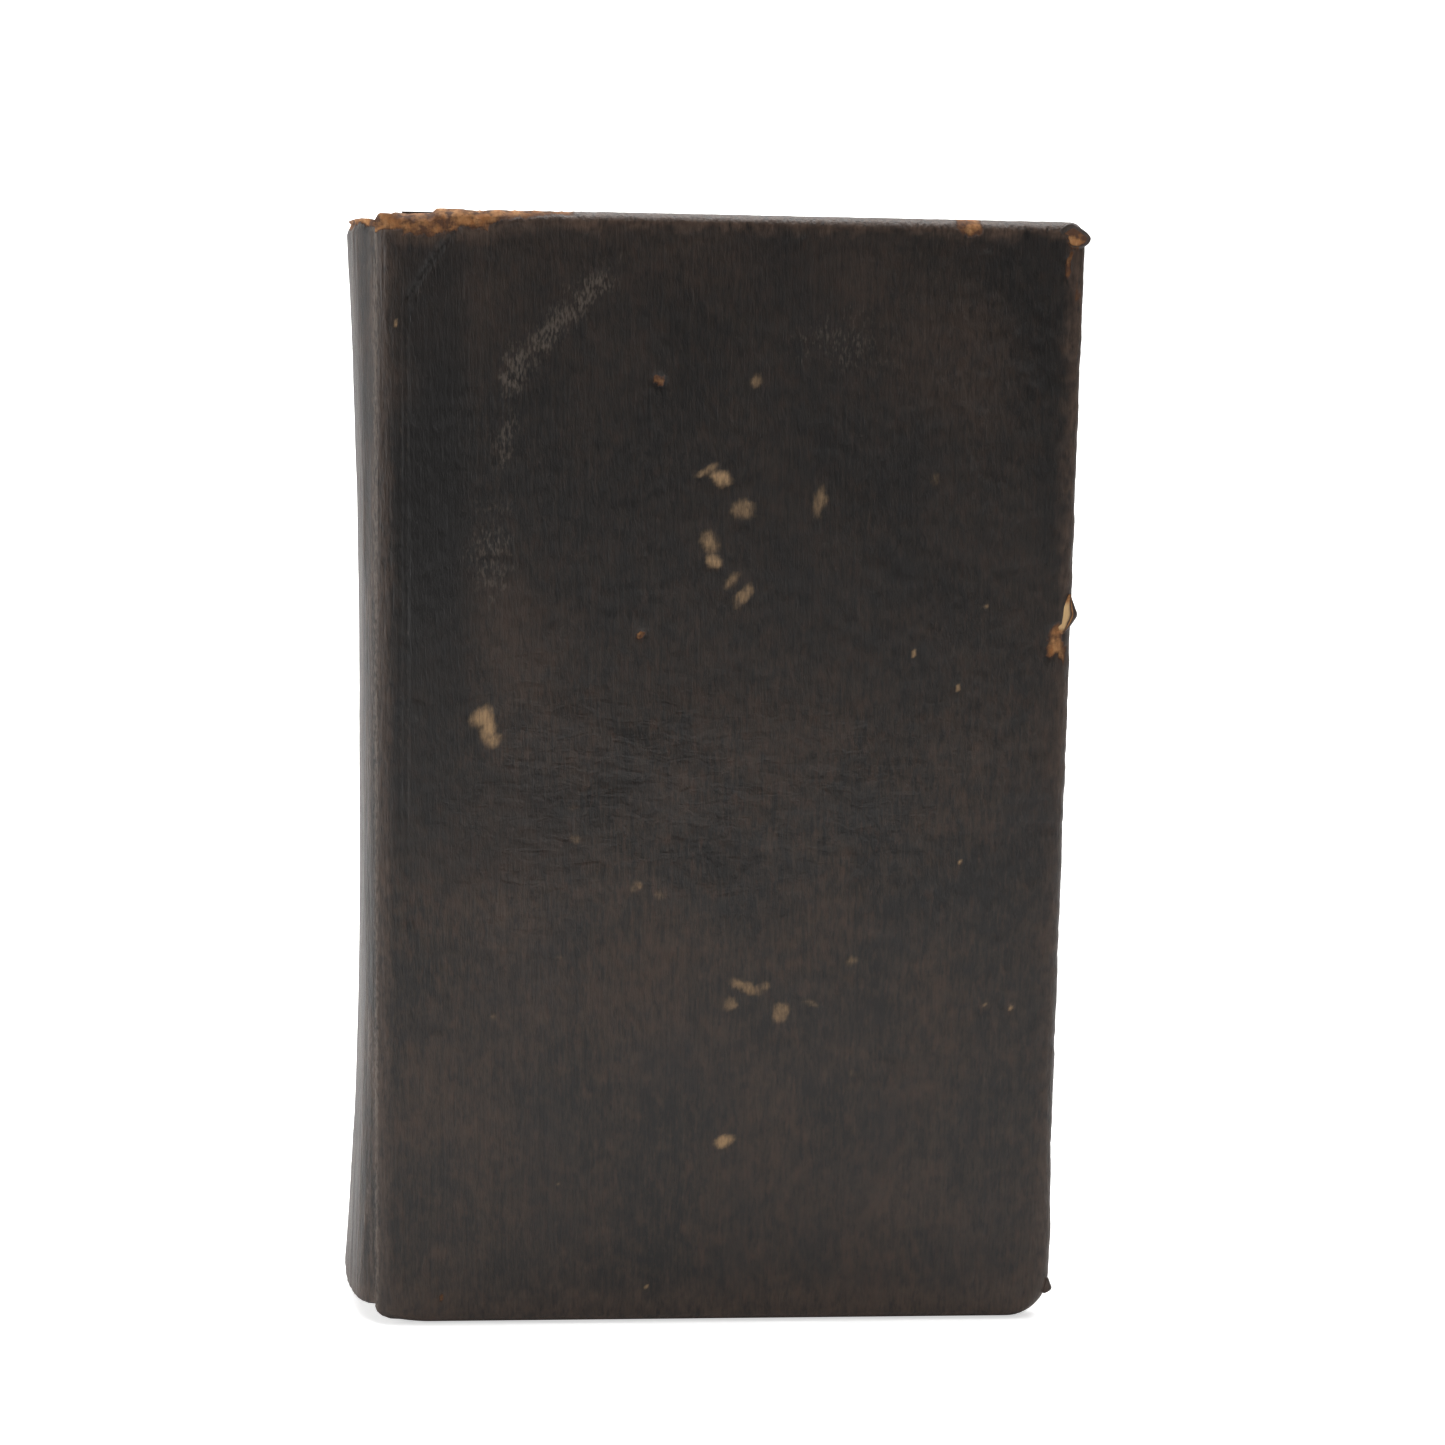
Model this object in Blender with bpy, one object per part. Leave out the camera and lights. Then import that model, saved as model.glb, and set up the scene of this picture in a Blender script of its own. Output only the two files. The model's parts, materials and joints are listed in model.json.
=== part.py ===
"""A small leather-bound prayer book, closed and standing on its tail edge.

It is put together the way a binder makes it: folded gatherings sewn on cords, a mull and a
paper lining on the spine, an endband at head and tail, endpapers, and two boards covered in
leather that is turned in over their edges.  X runs from the spine (-X) to the fore-edge (+X),
Y from the front cover (-Y) to the back cover (+Y), and Z is up, from tail to head.  The origin
is the middle of the footprint.  Pieces that lean on each other keep the gap GAP.

The book opens at both covers and at its middle.  The covers turn about the joint creases, the
front half of the book turns about the outermost line of the spine, and the loose leaves turn
about their own folds.  What is shared by the two halves is therefore made in two halves.
"""

import math

import bmesh
import bpy
from mathutils import Matrix, Vector

MM = 0.001

# Driving dimensions
HEIGHT = 176 * MM
WIDTH = 115 * MM
THICKNESS = 46 * MM
GAP = 0.3 * MM

# Covers
LEATHER = 0.9 * MM
TURN_IN = 0.5 * MM
TURN_IN_WIDTH = 12 * MM
BOARD = 2.4 * MM
EDGE_ROUNDING = 2.0 * MM
INNER_ROUNDING = 0.4 * MM
HEAD_CORNER = 2.6 * MM
TAIL_CORNER = 6.5 * MM
HEAD_HINGE_CORNER = 2.2 * MM
TAIL_HINGE_CORNER = 3.5 * MM
GROOVE_DEPTH = 1.0 * MM
GROOVE_RADIUS = 8 * MM
HINGE_STRIP = 3.7 * MM

# Leaves
SQUARE = 3 * MM
FORE_SQUARE = 3.4 * MM
LEAF = 0.3 * MM
GATHERINGS_PER_HALF = 10

# Spine, built up from the back of the leaves outwards
BLOCK_ROUND = 2.2 * MM
CORD = 1.0 * MM
CORD_COUNT = 4
MULL = 0.4 * MM
MULL_INSET = 12 * MM
LINING = 0.6 * MM
LINING_INSET = 4 * MM
LINING_MARGIN = 0.8 * MM
ENDBAND = 2.0 * MM
ENDBAND_MARGIN = 1.5 * MM
SHOULDER = 1.0 * MM
BULGE_HEAD = 4.6 * MM
BULGE_WAIST = 2.5 * MM
BULGE_TAIL = 5.3 * MM
FLARE = 0.42 * HEIGHT
SPINE_INSET_HEAD = 1.2 * MM
SPINE_INSET_TAIL = 3.0 * MM

# Fineness of the round shapes
CORNER_STEPS = 5
EDGE_STEPS = 3
GROOVE_STEPS = 16
SPINE_STEPS = 9
SPINE_LEVELS = 13
LAYER_STEPS = 5
FOLD_STEPS = 4
TUBE_SIDES = 8

# Places that follow from them, as distances from the middle of the book
FORE_EDGE = WIDTH / 2
SPINE_LINE = -WIDTH / 2
OUTSIDE = THICKNESS / 2
CREASE = SPINE_LINE + SHOULDER + BULGE_TAIL
CREASE_Y = OUTSIDE - GROOVE_DEPTH
BOARD_OUTER = OUTSIDE - LEATHER - GAP
BOARD_INNER = BOARD_OUTER - BOARD
BOARD_START = CREASE + HINGE_STRIP + GAP
TURN_IN_OUTER = BOARD_INNER - GAP
TURN_IN_INNER = TURN_IN_OUTER - TURN_IN
FLYLEAF_OUTER = TURN_IN_INNER - GAP
FLYLEAF_INNER = FLYLEAF_OUTER - LEAF
FLYLEAF_START = CREASE + 1.0 * MM
LEAVES_END = FORE_EDGE - FORE_SQUARE
BLOCK_OUTER = FLYLEAF_INNER - GAP
BLOCK_INNER = LEAF / 2 + GAP
BLOCK_BACK = CREASE - SHOULDER - BULGE_WAIST + LEATHER + LINING + MULL + CORD + 4 * GAP
LEAF_WIDTH = LEAVES_END - BLOCK_BACK - BLOCK_ROUND

SIDES = {"front": -1, "back": 1}

# Colours (linear RGB) with their roughness
LEATHER_LOOK = ((0.030, 0.024, 0.020), 0.5)
BOARD_LOOK = ((0.30, 0.22, 0.14), 0.85)
PAPER_LOOK = ((0.62, 0.52, 0.36), 0.85)
ENDPAPER_LOOK = ((0.52, 0.43, 0.30), 0.8)
CORD_LOOK = ((0.42, 0.33, 0.20), 0.9)
MULL_LOOK = ((0.50, 0.44, 0.33), 0.95)
LINING_LOOK = ((0.36, 0.27, 0.17), 0.9)
ENDBAND_LOOK = ((0.34, 0.20, 0.12), 0.7)


# ------------------------------------------------------------------ objects

def clear_scene():
    for obj in list(bpy.data.objects):
        bpy.data.objects.remove(obj, do_unlink=True)


def make_material(name, look):
    colour, roughness = look
    material = bpy.data.materials.new(name)
    material.use_nodes = True
    shader = material.node_tree.nodes["Principled BSDF"]
    shader.inputs["Base Color"].default_value = (*colour, 1.0)
    shader.inputs["Roughness"].default_value = roughness
    shader.inputs["Metallic"].default_value = 0.0
    return material


def hang(obj, pivot):
    """Parents obj to a pivot and leaves it where it is."""
    if pivot is not None:
        obj.parent = pivot
        obj.matrix_parent_inverse = Matrix.Translation(-Vector(pivot["place"]))


def make_pivot(name, x, y, parent=None):
    """An empty on the upright axis of a joint, to hang the moving pieces on."""
    pivot = bpy.data.objects.new(name, None)
    pivot["place"] = (x, y, 0.0)
    pivot.location = (x, y, 0.0)
    bpy.context.scene.collection.objects.link(pivot)
    hang(pivot, parent)
    return pivot


def make_mesh(name, bm):
    bmesh.ops.recalc_face_normals(bm, faces=bm.faces)
    mesh = bpy.data.meshes.new(name)
    bm.to_mesh(mesh)
    bm.free()
    return mesh


def make_piece(name, bm, look, pivot):
    mesh = make_mesh(name, bm)
    mesh.shade_smooth()
    mesh.set_sharp_from_angle(angle=math.radians(35))
    mesh.materials.append(make_material(name, look))
    piece = bpy.data.objects.new(name, mesh)
    bpy.context.scene.collection.objects.link(piece)
    hang(piece, pivot)
    return piece


def cut(piece, name, bm):
    """Takes a closed shape out of a piece with a Boolean modifier."""
    cutter = bpy.data.objects.new(name, make_mesh(name, bm))
    cutter.hide_render = True
    cutter.display_type = "WIRE"
    bpy.context.scene.collection.objects.link(cutter)
    modifier = piece.modifiers.new(name, "BOOLEAN")
    modifier.operation = "DIFFERENCE"
    modifier.solver = "EXACT"
    modifier.object = cutter


# ------------------------------------------------------------------ shapes

def loft(rings):
    """A closed solid through rings of points with the same count."""
    bm = bmesh.new()
    loops = [[bm.verts.new(point) for point in ring] for ring in rings]
    for lower, upper in zip(loops, loops[1:]):
        for i in range(len(lower)):
            j = (i + 1) % len(lower)
            bm.faces.new((lower[i], lower[j], upper[j], upper[i]))
    bm.faces.new(loops[0][::-1])
    bm.faces.new(loops[-1])
    return bm


def prism(outline, bottom, top):
    """An upright solid over an outline of (x, y) points."""
    return loft([[(x, y, z) for x, y in outline] for z in (bottom, top)])


def box(x_range, y_range, z_range):
    (x0, x1), (y0, y1) = x_range, y_range
    return prism([(x0, y0), (x1, y0), (x1, y1), (x0, y1)], *z_range)


def arc(centre, radius, start, end, steps):
    """Points along a circular arc between two angles in degrees."""
    points = []
    for i in range(steps + 1):
        angle = math.radians(start + (end - start) * i / steps)
        points.append((centre[0] + radius * math.cos(angle), centre[1] + radius * math.sin(angle)))
    return points


def spread(start, end, steps):
    return [start + (end - start) * i / steps for i in range(steps + 1)]


def tube(path, radius):
    """A round bar along a level path that is nowhere upright."""
    up = Vector((0, 0, 1))
    rings = []
    for k, point in enumerate(path):
        along = Vector(path[min(k + 1, len(path) - 1)]) - Vector(path[max(k - 1, 0)])
        across = along.cross(up).normalized()
        ring = [Vector(point) + across * a + up * b
                for a, b in arc((0, 0), radius, 0, 360 - 360 / TUBE_SIDES, TUBE_SIDES - 1)]
        rings.append(ring)
    return loft(rings)


def cover_outline(start, inset):
    """The (x, z) outline of a cover, drawn in by inset along its three free edges."""
    right = FORE_EDGE - inset
    top = HEIGHT - inset
    tail = TAIL_CORNER - inset
    head = HEAD_CORNER - inset
    tail_hinge = TAIL_HINGE_CORNER - inset
    head_hinge = HEAD_HINGE_CORNER - inset
    points = arc((start + tail_hinge, inset + tail_hinge), tail_hinge, 180, 270, CORNER_STEPS)
    points += arc((right - tail, inset + tail), tail, -90, 0, CORNER_STEPS)
    points += arc((right - head, top - head), head, 0, 90, CORNER_STEPS)
    points += arc((start + head_hinge, top - head_hinge), head_hinge, 90, 180, CORNER_STEPS)
    return points


def cover_plate(side, start, inset, outer, inner, outer_round, inner_round):
    """A plate with the outline of a cover, between two distances from the middle of the book."""
    levels = [(outer - outer_round + depth, inset + outer_round - draw)
              for draw, depth in arc((0, 0), outer_round, 90, 0, EDGE_STEPS)]
    levels += [(inner + inner_round, inset), (inner, inset + inner_round)]
    return loft([[(x, side * y, z) for x, z in cover_outline(start, drawn)] for y, drawn in levels])


def block_back(y):
    """Where the folds of the leaves lie, at a distance y from the middle of the book."""
    return BLOCK_BACK + BLOCK_ROUND * (y / BLOCK_OUTER) ** 2


def bulge(z):
    """How far the spine stands out behind its shoulders: most at head and tail."""
    to_head = max(0.0, 1 - (HEIGHT - SPINE_INSET_HEAD - z) / FLARE)
    to_tail = max(0.0, 1 - (z - SPINE_INSET_TAIL) / FLARE)
    return (BULGE_WAIST
            + (BULGE_HEAD - BULGE_WAIST) * to_head ** 2
            + (BULGE_TAIL - BULGE_WAIST) * to_tail ** 2)


def spine_curve(side, z, depth):
    """Half of the spine's cross-section at a height z, at a depth under its outer face.

    It starts at the crease, runs over the shoulder and ends at the middle of the book.
    """
    reach = CREASE_Y - depth
    points = [(CREASE - GAP / 2, side * reach, z)]
    for i in range(SPINE_STEPS + 1):
        angle = math.radians(90 * i / SPINE_STEPS)
        x = CREASE - SHOULDER - (bulge(z) - depth) * math.sin(angle)
        points.append((x, side * max(reach * math.cos(angle), GAP / 2), z))
    return points


def spine_layer(side, nearest, thickness, margin):
    """The outline of a layer that follows the folds of one half of the leaves."""
    ys = spread(GAP / 2, BLOCK_OUTER - margin, LAYER_STEPS)
    inner = [(block_back(y) - nearest, side * y) for y in ys]
    outer = [(block_back(y) - nearest - thickness, side * y) for y in ys]
    return inner + outer[::-1]


# ------------------------------------------------------------------ covers

def make_cover_leather(name, side, pivot):
    """Leather over one face of a board, turned in over its three free edges."""
    plate = cover_plate(side, CREASE + GAP / 2, 0, OUTSIDE, TURN_IN_INNER, EDGE_ROUNDING, INNER_ROUNDING)
    leather = make_piece(name, plate, LEATHER_LOOK, pivot)

    strip = CREASE + HINGE_STRIP
    clearance = 1 * MM
    room = cover_plate(side, strip - GAP, LEATHER, OUTSIDE - LEATHER, TURN_IN_OUTER,
                       EDGE_ROUNDING - LEATHER, 0.1 * MM)
    cut(leather, f"{name}_room_for_board", room)

    behind = sorted((side * (TURN_IN_INNER - clearance), side * (TURN_IN_OUTER + clearance)))
    window = box((strip - clearance, FORE_EDGE - TURN_IN_WIDTH), behind,
                 (TURN_IN_WIDTH, HEIGHT - TURN_IN_WIDTH))
    cut(leather, f"{name}_window", window)

    under = sorted((side * (TURN_IN_INNER - clearance), side * (CREASE_Y - LEATHER)))
    beneath = box((CREASE - clearance, strip), under, (-clearance, HEIGHT + clearance))
    cut(leather, f"{name}_under_hinge", beneath)

    curve = arc((CREASE, CREASE_Y + GROOVE_RADIUS), GROOVE_RADIUS, -135, -45, GROOVE_STEPS)
    groove = [(x, side * y) for x, y in curve]
    cut(leather, f"{name}_groove", prism(groove, -clearance, HEIGHT + clearance))


def make_board(name, side, pivot):
    inset = LEATHER + GAP
    board = cover_plate(side, BOARD_START, inset, BOARD_OUTER, BOARD_INNER, EDGE_ROUNDING - inset, 0.3 * MM)
    make_piece(name, board, BOARD_LOOK, pivot)


def make_pastedown(name, side, pivot):
    """The endpaper pasted to the inside of a board, within the leather's turned-in margins."""
    margin = TURN_IN_WIDTH + GAP
    faces = sorted((side * (TURN_IN_OUTER - LEAF), side * TURN_IN_OUTER))
    sheet = box((BOARD_START, FORE_EDGE - margin), faces, (margin, HEIGHT - margin))
    make_piece(name, sheet, ENDPAPER_LOOK, pivot)


def make_cover(label, side, pivot):
    make_cover_leather(f"{label}_cover_leather", side, pivot)
    make_board(f"{label}_board", side, pivot)
    make_pastedown(f"{label}_pastedown", side, pivot)


# ------------------------------------------------------------------ leaves

def make_flyleaf(name, side, pivot):
    faces = sorted((side * FLYLEAF_INNER, side * FLYLEAF_OUTER))
    sheet = box((FLYLEAF_START, LEAVES_END), faces, (SQUARE, HEIGHT - SQUARE))
    make_piece(name, sheet, ENDPAPER_LOOK, pivot)


def make_middle_leaf(name, pivot):
    start = block_back(0) + GAP
    sheet = box((start, start + LEAF_WIDTH - GAP), (-LEAF / 2, LEAF / 2), (SQUARE, HEIGHT - SQUARE))
    make_piece(name, sheet, PAPER_LOOK, pivot)


def gathering_outline(middle, thickness):
    """A folded bundle of leaves seen from above: a round fold and a square-cut fore-edge."""
    back = block_back(abs(middle))
    radius = thickness / 2
    end = back + LEAF_WIDTH
    fold = arc((back + radius, middle), radius, 90, 270, FOLD_STEPS)
    return fold + [(end, middle - radius), (end, middle + radius)]


def make_gatherings(label, side, pivot):
    """The gatherings of one half, numbered from the cover inwards."""
    pitch = (BLOCK_OUTER - BLOCK_INNER + GAP) / GATHERINGS_PER_HALF
    for i in range(GATHERINGS_PER_HALF):
        middle = side * (BLOCK_OUTER - (pitch - GAP) / 2 - i * pitch)
        bundle = prism(gathering_outline(middle, pitch - GAP), SQUARE, HEIGHT - SQUARE)
        make_piece(f"{label}_gathering_{i + 1:02d}", bundle, PAPER_LOOK, pivot)


# ------------------------------------------------------------------ spine

def make_spine_leather(name, side, pivot):
    """Half of the leather over the spine, waisted at mid height."""
    rings = []
    for z in spread(SPINE_INSET_TAIL, HEIGHT - SPINE_INSET_HEAD, SPINE_LEVELS - 1):
        rings.append(spine_curve(side, z, 0) + spine_curve(side, z, LEATHER)[::-1])
    make_piece(name, loft(rings), LEATHER_LOOK, pivot)


def make_cords(label, side, pivot):
    """The raised parts of the sewing cords that cross one half of the folds."""
    for i in range(CORD_COUNT):
        z = HEIGHT * (i + 1) / (CORD_COUNT + 1)
        ys = spread(GAP / 2, BLOCK_OUTER - LINING_MARGIN, LAYER_STEPS)
        path = [(block_back(y) - GAP - CORD / 2, side * y, z) for y in ys]
        make_piece(f"{label}_sewing_cord_{i + 1}", tube(path, CORD / 2), CORD_LOOK, pivot)


def make_linings(label, side, pivot):
    """The open cloth glued over the cords, and the paper lining over the cloth."""
    nearest = CORD + 2 * GAP
    mull = spine_layer(side, nearest, MULL, LINING_MARGIN)
    make_piece(f"{label}_mull", prism(mull, MULL_INSET, HEIGHT - MULL_INSET), MULL_LOOK, pivot)
    nearest += MULL + GAP
    lining = spine_layer(side, nearest, LINING, LINING_MARGIN)
    make_piece(f"{label}_spine_lining", prism(lining, LINING_INSET, HEIGHT - LINING_INSET),
               LINING_LOOK, pivot)


def make_endbands(label, side, pivot):
    """Half of each stitched band, at the ends of the folds."""
    rise = GAP + ENDBAND / 2
    for end, z in (("head", HEIGHT - SQUARE + rise), ("tail", SQUARE - rise)):
        ys = spread(GAP / 2, BLOCK_OUTER - ENDBAND_MARGIN, LAYER_STEPS)
        path = [(block_back(y) + rise, side * y, z) for y in ys]
        make_piece(f"{label}_{end}_endband", tube(path, ENDBAND / 2), ENDBAND_LOOK, pivot)


def make_half(label, side, pivot):
    make_gatherings(label, side, pivot)
    make_spine_leather(f"{label}_spine_leather", side, pivot)
    make_cords(label, side, pivot)
    make_linings(label, side, pivot)
    make_endbands(label, side, pivot)


def main():
    clear_scene()
    middle_opening = make_pivot("middle_opening_axis", SPINE_LINE, 0.0)
    half_pivots = {"front": middle_opening, "back": None}
    for label, side in SIDES.items():
        half = half_pivots[label]
        make_half(label, side, half)
        hinge = make_pivot(f"{label}_cover_hinge_axis", CREASE, side * CREASE_Y, half)
        make_cover(label, side, hinge)
        fold = make_pivot(f"{label}_flyleaf_fold_axis", FLYLEAF_START,
                          side * (FLYLEAF_INNER + LEAF / 2), half)
        make_flyleaf(f"{label}_flyleaf", side, fold)
    leaf_turn = make_pivot("middle_leaf_axis", SPINE_LINE, 0.0)
    make_middle_leaf("middle_leaf", leaf_turn)


main()
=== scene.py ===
"""The looks of the prayer book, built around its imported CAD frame.

A worn, nearly black straight-grain leather covers both boards and the spine.  The script makes
dense skins for the leather, leaves with uneven edges, endpapers that bend at the joints and
stitched endbands, and gives every piece its own procedural material.  Places come from the
frame: x runs from the spine to the fore-edge, y from the front to the back cover, z upwards.
Places on a cover are written (across, up): millimetres from the joint crease and from the tail.
"""
import itertools
import json
import math

import bmesh
import bpy
import numpy as np
from mathutils import Matrix, Vector


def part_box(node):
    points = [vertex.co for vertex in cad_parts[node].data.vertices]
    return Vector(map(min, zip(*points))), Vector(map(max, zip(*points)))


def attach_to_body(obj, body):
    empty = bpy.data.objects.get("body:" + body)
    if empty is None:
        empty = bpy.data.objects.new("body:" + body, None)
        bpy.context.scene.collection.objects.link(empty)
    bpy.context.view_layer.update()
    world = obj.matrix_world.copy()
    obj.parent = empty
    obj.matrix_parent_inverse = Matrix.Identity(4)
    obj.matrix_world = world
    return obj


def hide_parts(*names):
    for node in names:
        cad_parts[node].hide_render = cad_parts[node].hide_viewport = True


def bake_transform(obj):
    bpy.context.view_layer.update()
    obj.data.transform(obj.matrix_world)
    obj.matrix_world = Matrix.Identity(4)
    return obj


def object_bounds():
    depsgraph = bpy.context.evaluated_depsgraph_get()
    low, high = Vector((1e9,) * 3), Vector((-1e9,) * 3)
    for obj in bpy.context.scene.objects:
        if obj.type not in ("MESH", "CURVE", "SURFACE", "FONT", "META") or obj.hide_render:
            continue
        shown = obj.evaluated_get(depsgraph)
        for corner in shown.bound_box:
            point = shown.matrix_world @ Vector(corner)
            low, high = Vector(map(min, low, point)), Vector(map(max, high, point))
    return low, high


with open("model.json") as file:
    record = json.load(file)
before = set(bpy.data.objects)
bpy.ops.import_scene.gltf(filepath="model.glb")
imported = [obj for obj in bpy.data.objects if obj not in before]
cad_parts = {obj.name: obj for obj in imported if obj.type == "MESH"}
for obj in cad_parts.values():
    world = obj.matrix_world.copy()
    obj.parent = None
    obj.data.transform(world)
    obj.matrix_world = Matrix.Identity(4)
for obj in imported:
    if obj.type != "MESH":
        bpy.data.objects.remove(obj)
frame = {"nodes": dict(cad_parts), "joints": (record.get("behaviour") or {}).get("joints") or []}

CAD_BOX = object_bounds()
MM = 0.001

# --- places in the frame

JOINTS = {joint["name"]: Vector(joint["pos_m"]) for joint in frame["joints"]}
CREASE = JOINTS["front_cover_hinge"].x
CREASE_Y = -JOINTS["front_cover_hinge"].y
SPINE_LINE = JOINTS["middle_opening"].x
FORE_EDGE = CAD_BOX[1].x
HEIGHT = CAD_BOX[1].z
OUTSIDE = CAD_BOX[1].y
TURN_IN_FACE = -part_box("front_cover_leather")[1].y
BOARD_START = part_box("front_board")[0].x
BOARD_FACE = -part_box("front_board")[1].y
LEAVES_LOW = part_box("middle_leaf")[0].z
LEAVES_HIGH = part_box("middle_leaf")[1].z
FLYLEAF_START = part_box("front_flyleaf")[0].x
LEAVES_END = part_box("front_flyleaf")[1].x
FLYLEAF_Y = -(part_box("front_flyleaf")[0].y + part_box("front_flyleaf")[1].y) / 2
SPINE_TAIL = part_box("front_spine_leather")[0].z
SPINE_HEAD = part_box("front_spine_leather")[1].z

# The same cover outline as the frame's solids
EDGE_ROUND = 2.0 * MM
CORNER_RADII = {(1, -1): 6.5 * MM, (1, 1): 2.6 * MM, (-1, -1): 3.5 * MM, (-1, 1): 2.2 * MM}
TURN_IN_WIDTH = 12 * MM
SKIN = 0.5 * MM
SHOULDER = 1.0 * MM
BULGE_HEAD = 4.6 * MM
BULGE_WAIST = 2.5 * MM
BULGE_TAIL = 5.3 * MM
FLARE = 0.42 * HEIGHT

SIDES = {"front": -1, "back": 1}


# --- numbers

def smooth(value, low, high):
    """0 below low, 1 above high, and an S-curve between."""
    part = np.clip((value - low) / (high - low), 0, 1)
    return part * part * (3 - 2 * part)


def hashed(cells, seed):
    """A repeatable value between -1 and 1 for each row of three whole numbers."""
    mixed = cells[:, 0] * 73856093 ^ cells[:, 1] * 19349663 ^ cells[:, 2] * 83492791 ^ seed * 50331653
    mixed = (mixed ^ (mixed >> 13)) * 1274126177
    mixed = (mixed ^ (mixed >> 16)) & 0xFFFF
    return mixed / 32767.5 - 1


def lattice(points, seed):
    """Smooth random values between -1 and 1, one step of the lattice apart."""
    base = np.floor(points).astype(np.int64)
    part = points - base
    part = part * part * (3 - 2 * part)
    total = np.zeros(len(points))
    for corner in itertools.product((0, 1), repeat=3):
        weight = np.prod(np.where(corner, part, 1 - part), axis=1)
        total += weight * hashed(base + np.array(corner), seed)
    return total


def fractal(points, size, seed, octaves=3):
    """Layered lattice noise.  size is the width of its largest lumps along x, y and z."""
    total = np.zeros(len(points))
    scale = 1 / np.array(size)
    strength = 1.0
    for octave in range(octaves):
        total += strength * lattice(points * scale, seed + 17 * octave)
        scale = scale * 2.1
        strength *= 0.5
    return total


def spread(start, end, step):
    """Evenly spaced values from start to end, about one step apart."""
    count = max(1, round(abs(end - start) / step))
    return list(np.linspace(start, end, count + 1))


def most(*layers):
    """The largest of several layers at each point."""
    return np.maximum.reduce(layers)


def path_length(points):
    """How far along a path each of its points lies."""
    return np.concatenate([[0], np.cumsum(np.linalg.norm(np.diff(points, axis=0), axis=1))])


def evenly(points, count):
    """A number of (x, y) points spaced evenly along a path."""
    length = path_length(points)
    at = np.linspace(0, length[-1], count)
    return np.stack([np.interp(at, length, points[:, k]) for k in (0, 1)], axis=1)


# --- meshes

def make_mesh_object(name, points, faces, material):
    mesh = bpy.data.meshes.new(name)
    mesh.from_pydata([tuple(p) for p in points], [], [tuple(face) for face in faces])
    mesh.validate()
    mesh.materials.append(material)
    piece = bpy.data.objects.new(name, mesh)
    bpy.context.scene.collection.objects.link(piece)
    return piece


def shade(piece, angle):
    """Turns all faces outward and shades them smooth, up to an angle in degrees."""
    bm = bmesh.new()
    bm.from_mesh(piece.data)
    bmesh.ops.recalc_face_normals(bm, faces=bm.faces)
    bm.to_mesh(piece.data)
    bm.free()
    piece.data.shade_smooth()
    piece.data.set_sharp_from_angle(angle=math.radians(angle))


def points_of(piece):
    points = np.empty(len(piece.data.vertices) * 3, np.float32)
    piece.data.vertices.foreach_get("co", points)
    return points.reshape(-1, 3).astype(float)


def set_points(piece, points):
    piece.data.vertices.foreach_set("co", points.astype(np.float32).ravel())
    piece.data.update()


def paint(piece, name, values, domain="POINT"):
    """Stores one number per point, or per face, for the material to read."""
    layer = piece.data.attributes.new(name, "FLOAT", domain)
    values = np.broadcast_to(values, len(layer.data))
    layer.data.foreach_set("value", np.clip(values, 0, 1).astype(np.float32))


def paint_leather(piece, **numbers):
    """Paints all the numbers that the leather material reads.  Those not given are 0."""
    for name in LEATHER_NUMBERS:
        paint(piece, name, numbers.get(name, 0.0))


def ring_faces(rings):
    """Quads between closed rings of point numbers."""
    faces = []
    for lower, upper in zip(rings, rings[1:]):
        for i in range(len(lower)):
            j = (i + 1) % len(lower)
            faces.append((lower[i], lower[j], upper[j], upper[i]))
    return faces


def numbered(rings, first=0):
    """The point numbers of rings that are stored one after another."""
    size = len(rings[0])
    return [list(range(first + k * size, first + (k + 1) * size)) for k in range(len(rings))]


def lifted(section, z):
    """A section of (x, y) points, at the height z."""
    return np.column_stack([section, np.full(len(section), z)])


def loft(name, rings, material):
    """A piece through closed rings of points, with flat ends."""
    numbers = numbered(rings)
    faces = ring_faces(numbers) + [numbers[0][::-1], numbers[-1]]
    return make_mesh_object(name, np.concatenate(rings), faces, material)


def attach(piece, body, slot, *nodes):
    """A finished piece rides on a body and stands for CAD nodes, which it hides; slot is not used."""
    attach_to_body(piece, body)
    if nodes:
        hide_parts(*nodes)


def attach_between(piece, bodies, start, end, slot, *nodes):
    """Bakes a finished piece's place into its points and hides the CAD nodes it stands for; bodies, start and
    end are not used.
    """
    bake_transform(piece)
    if nodes:
        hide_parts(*nodes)


# --- material helpers

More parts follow.
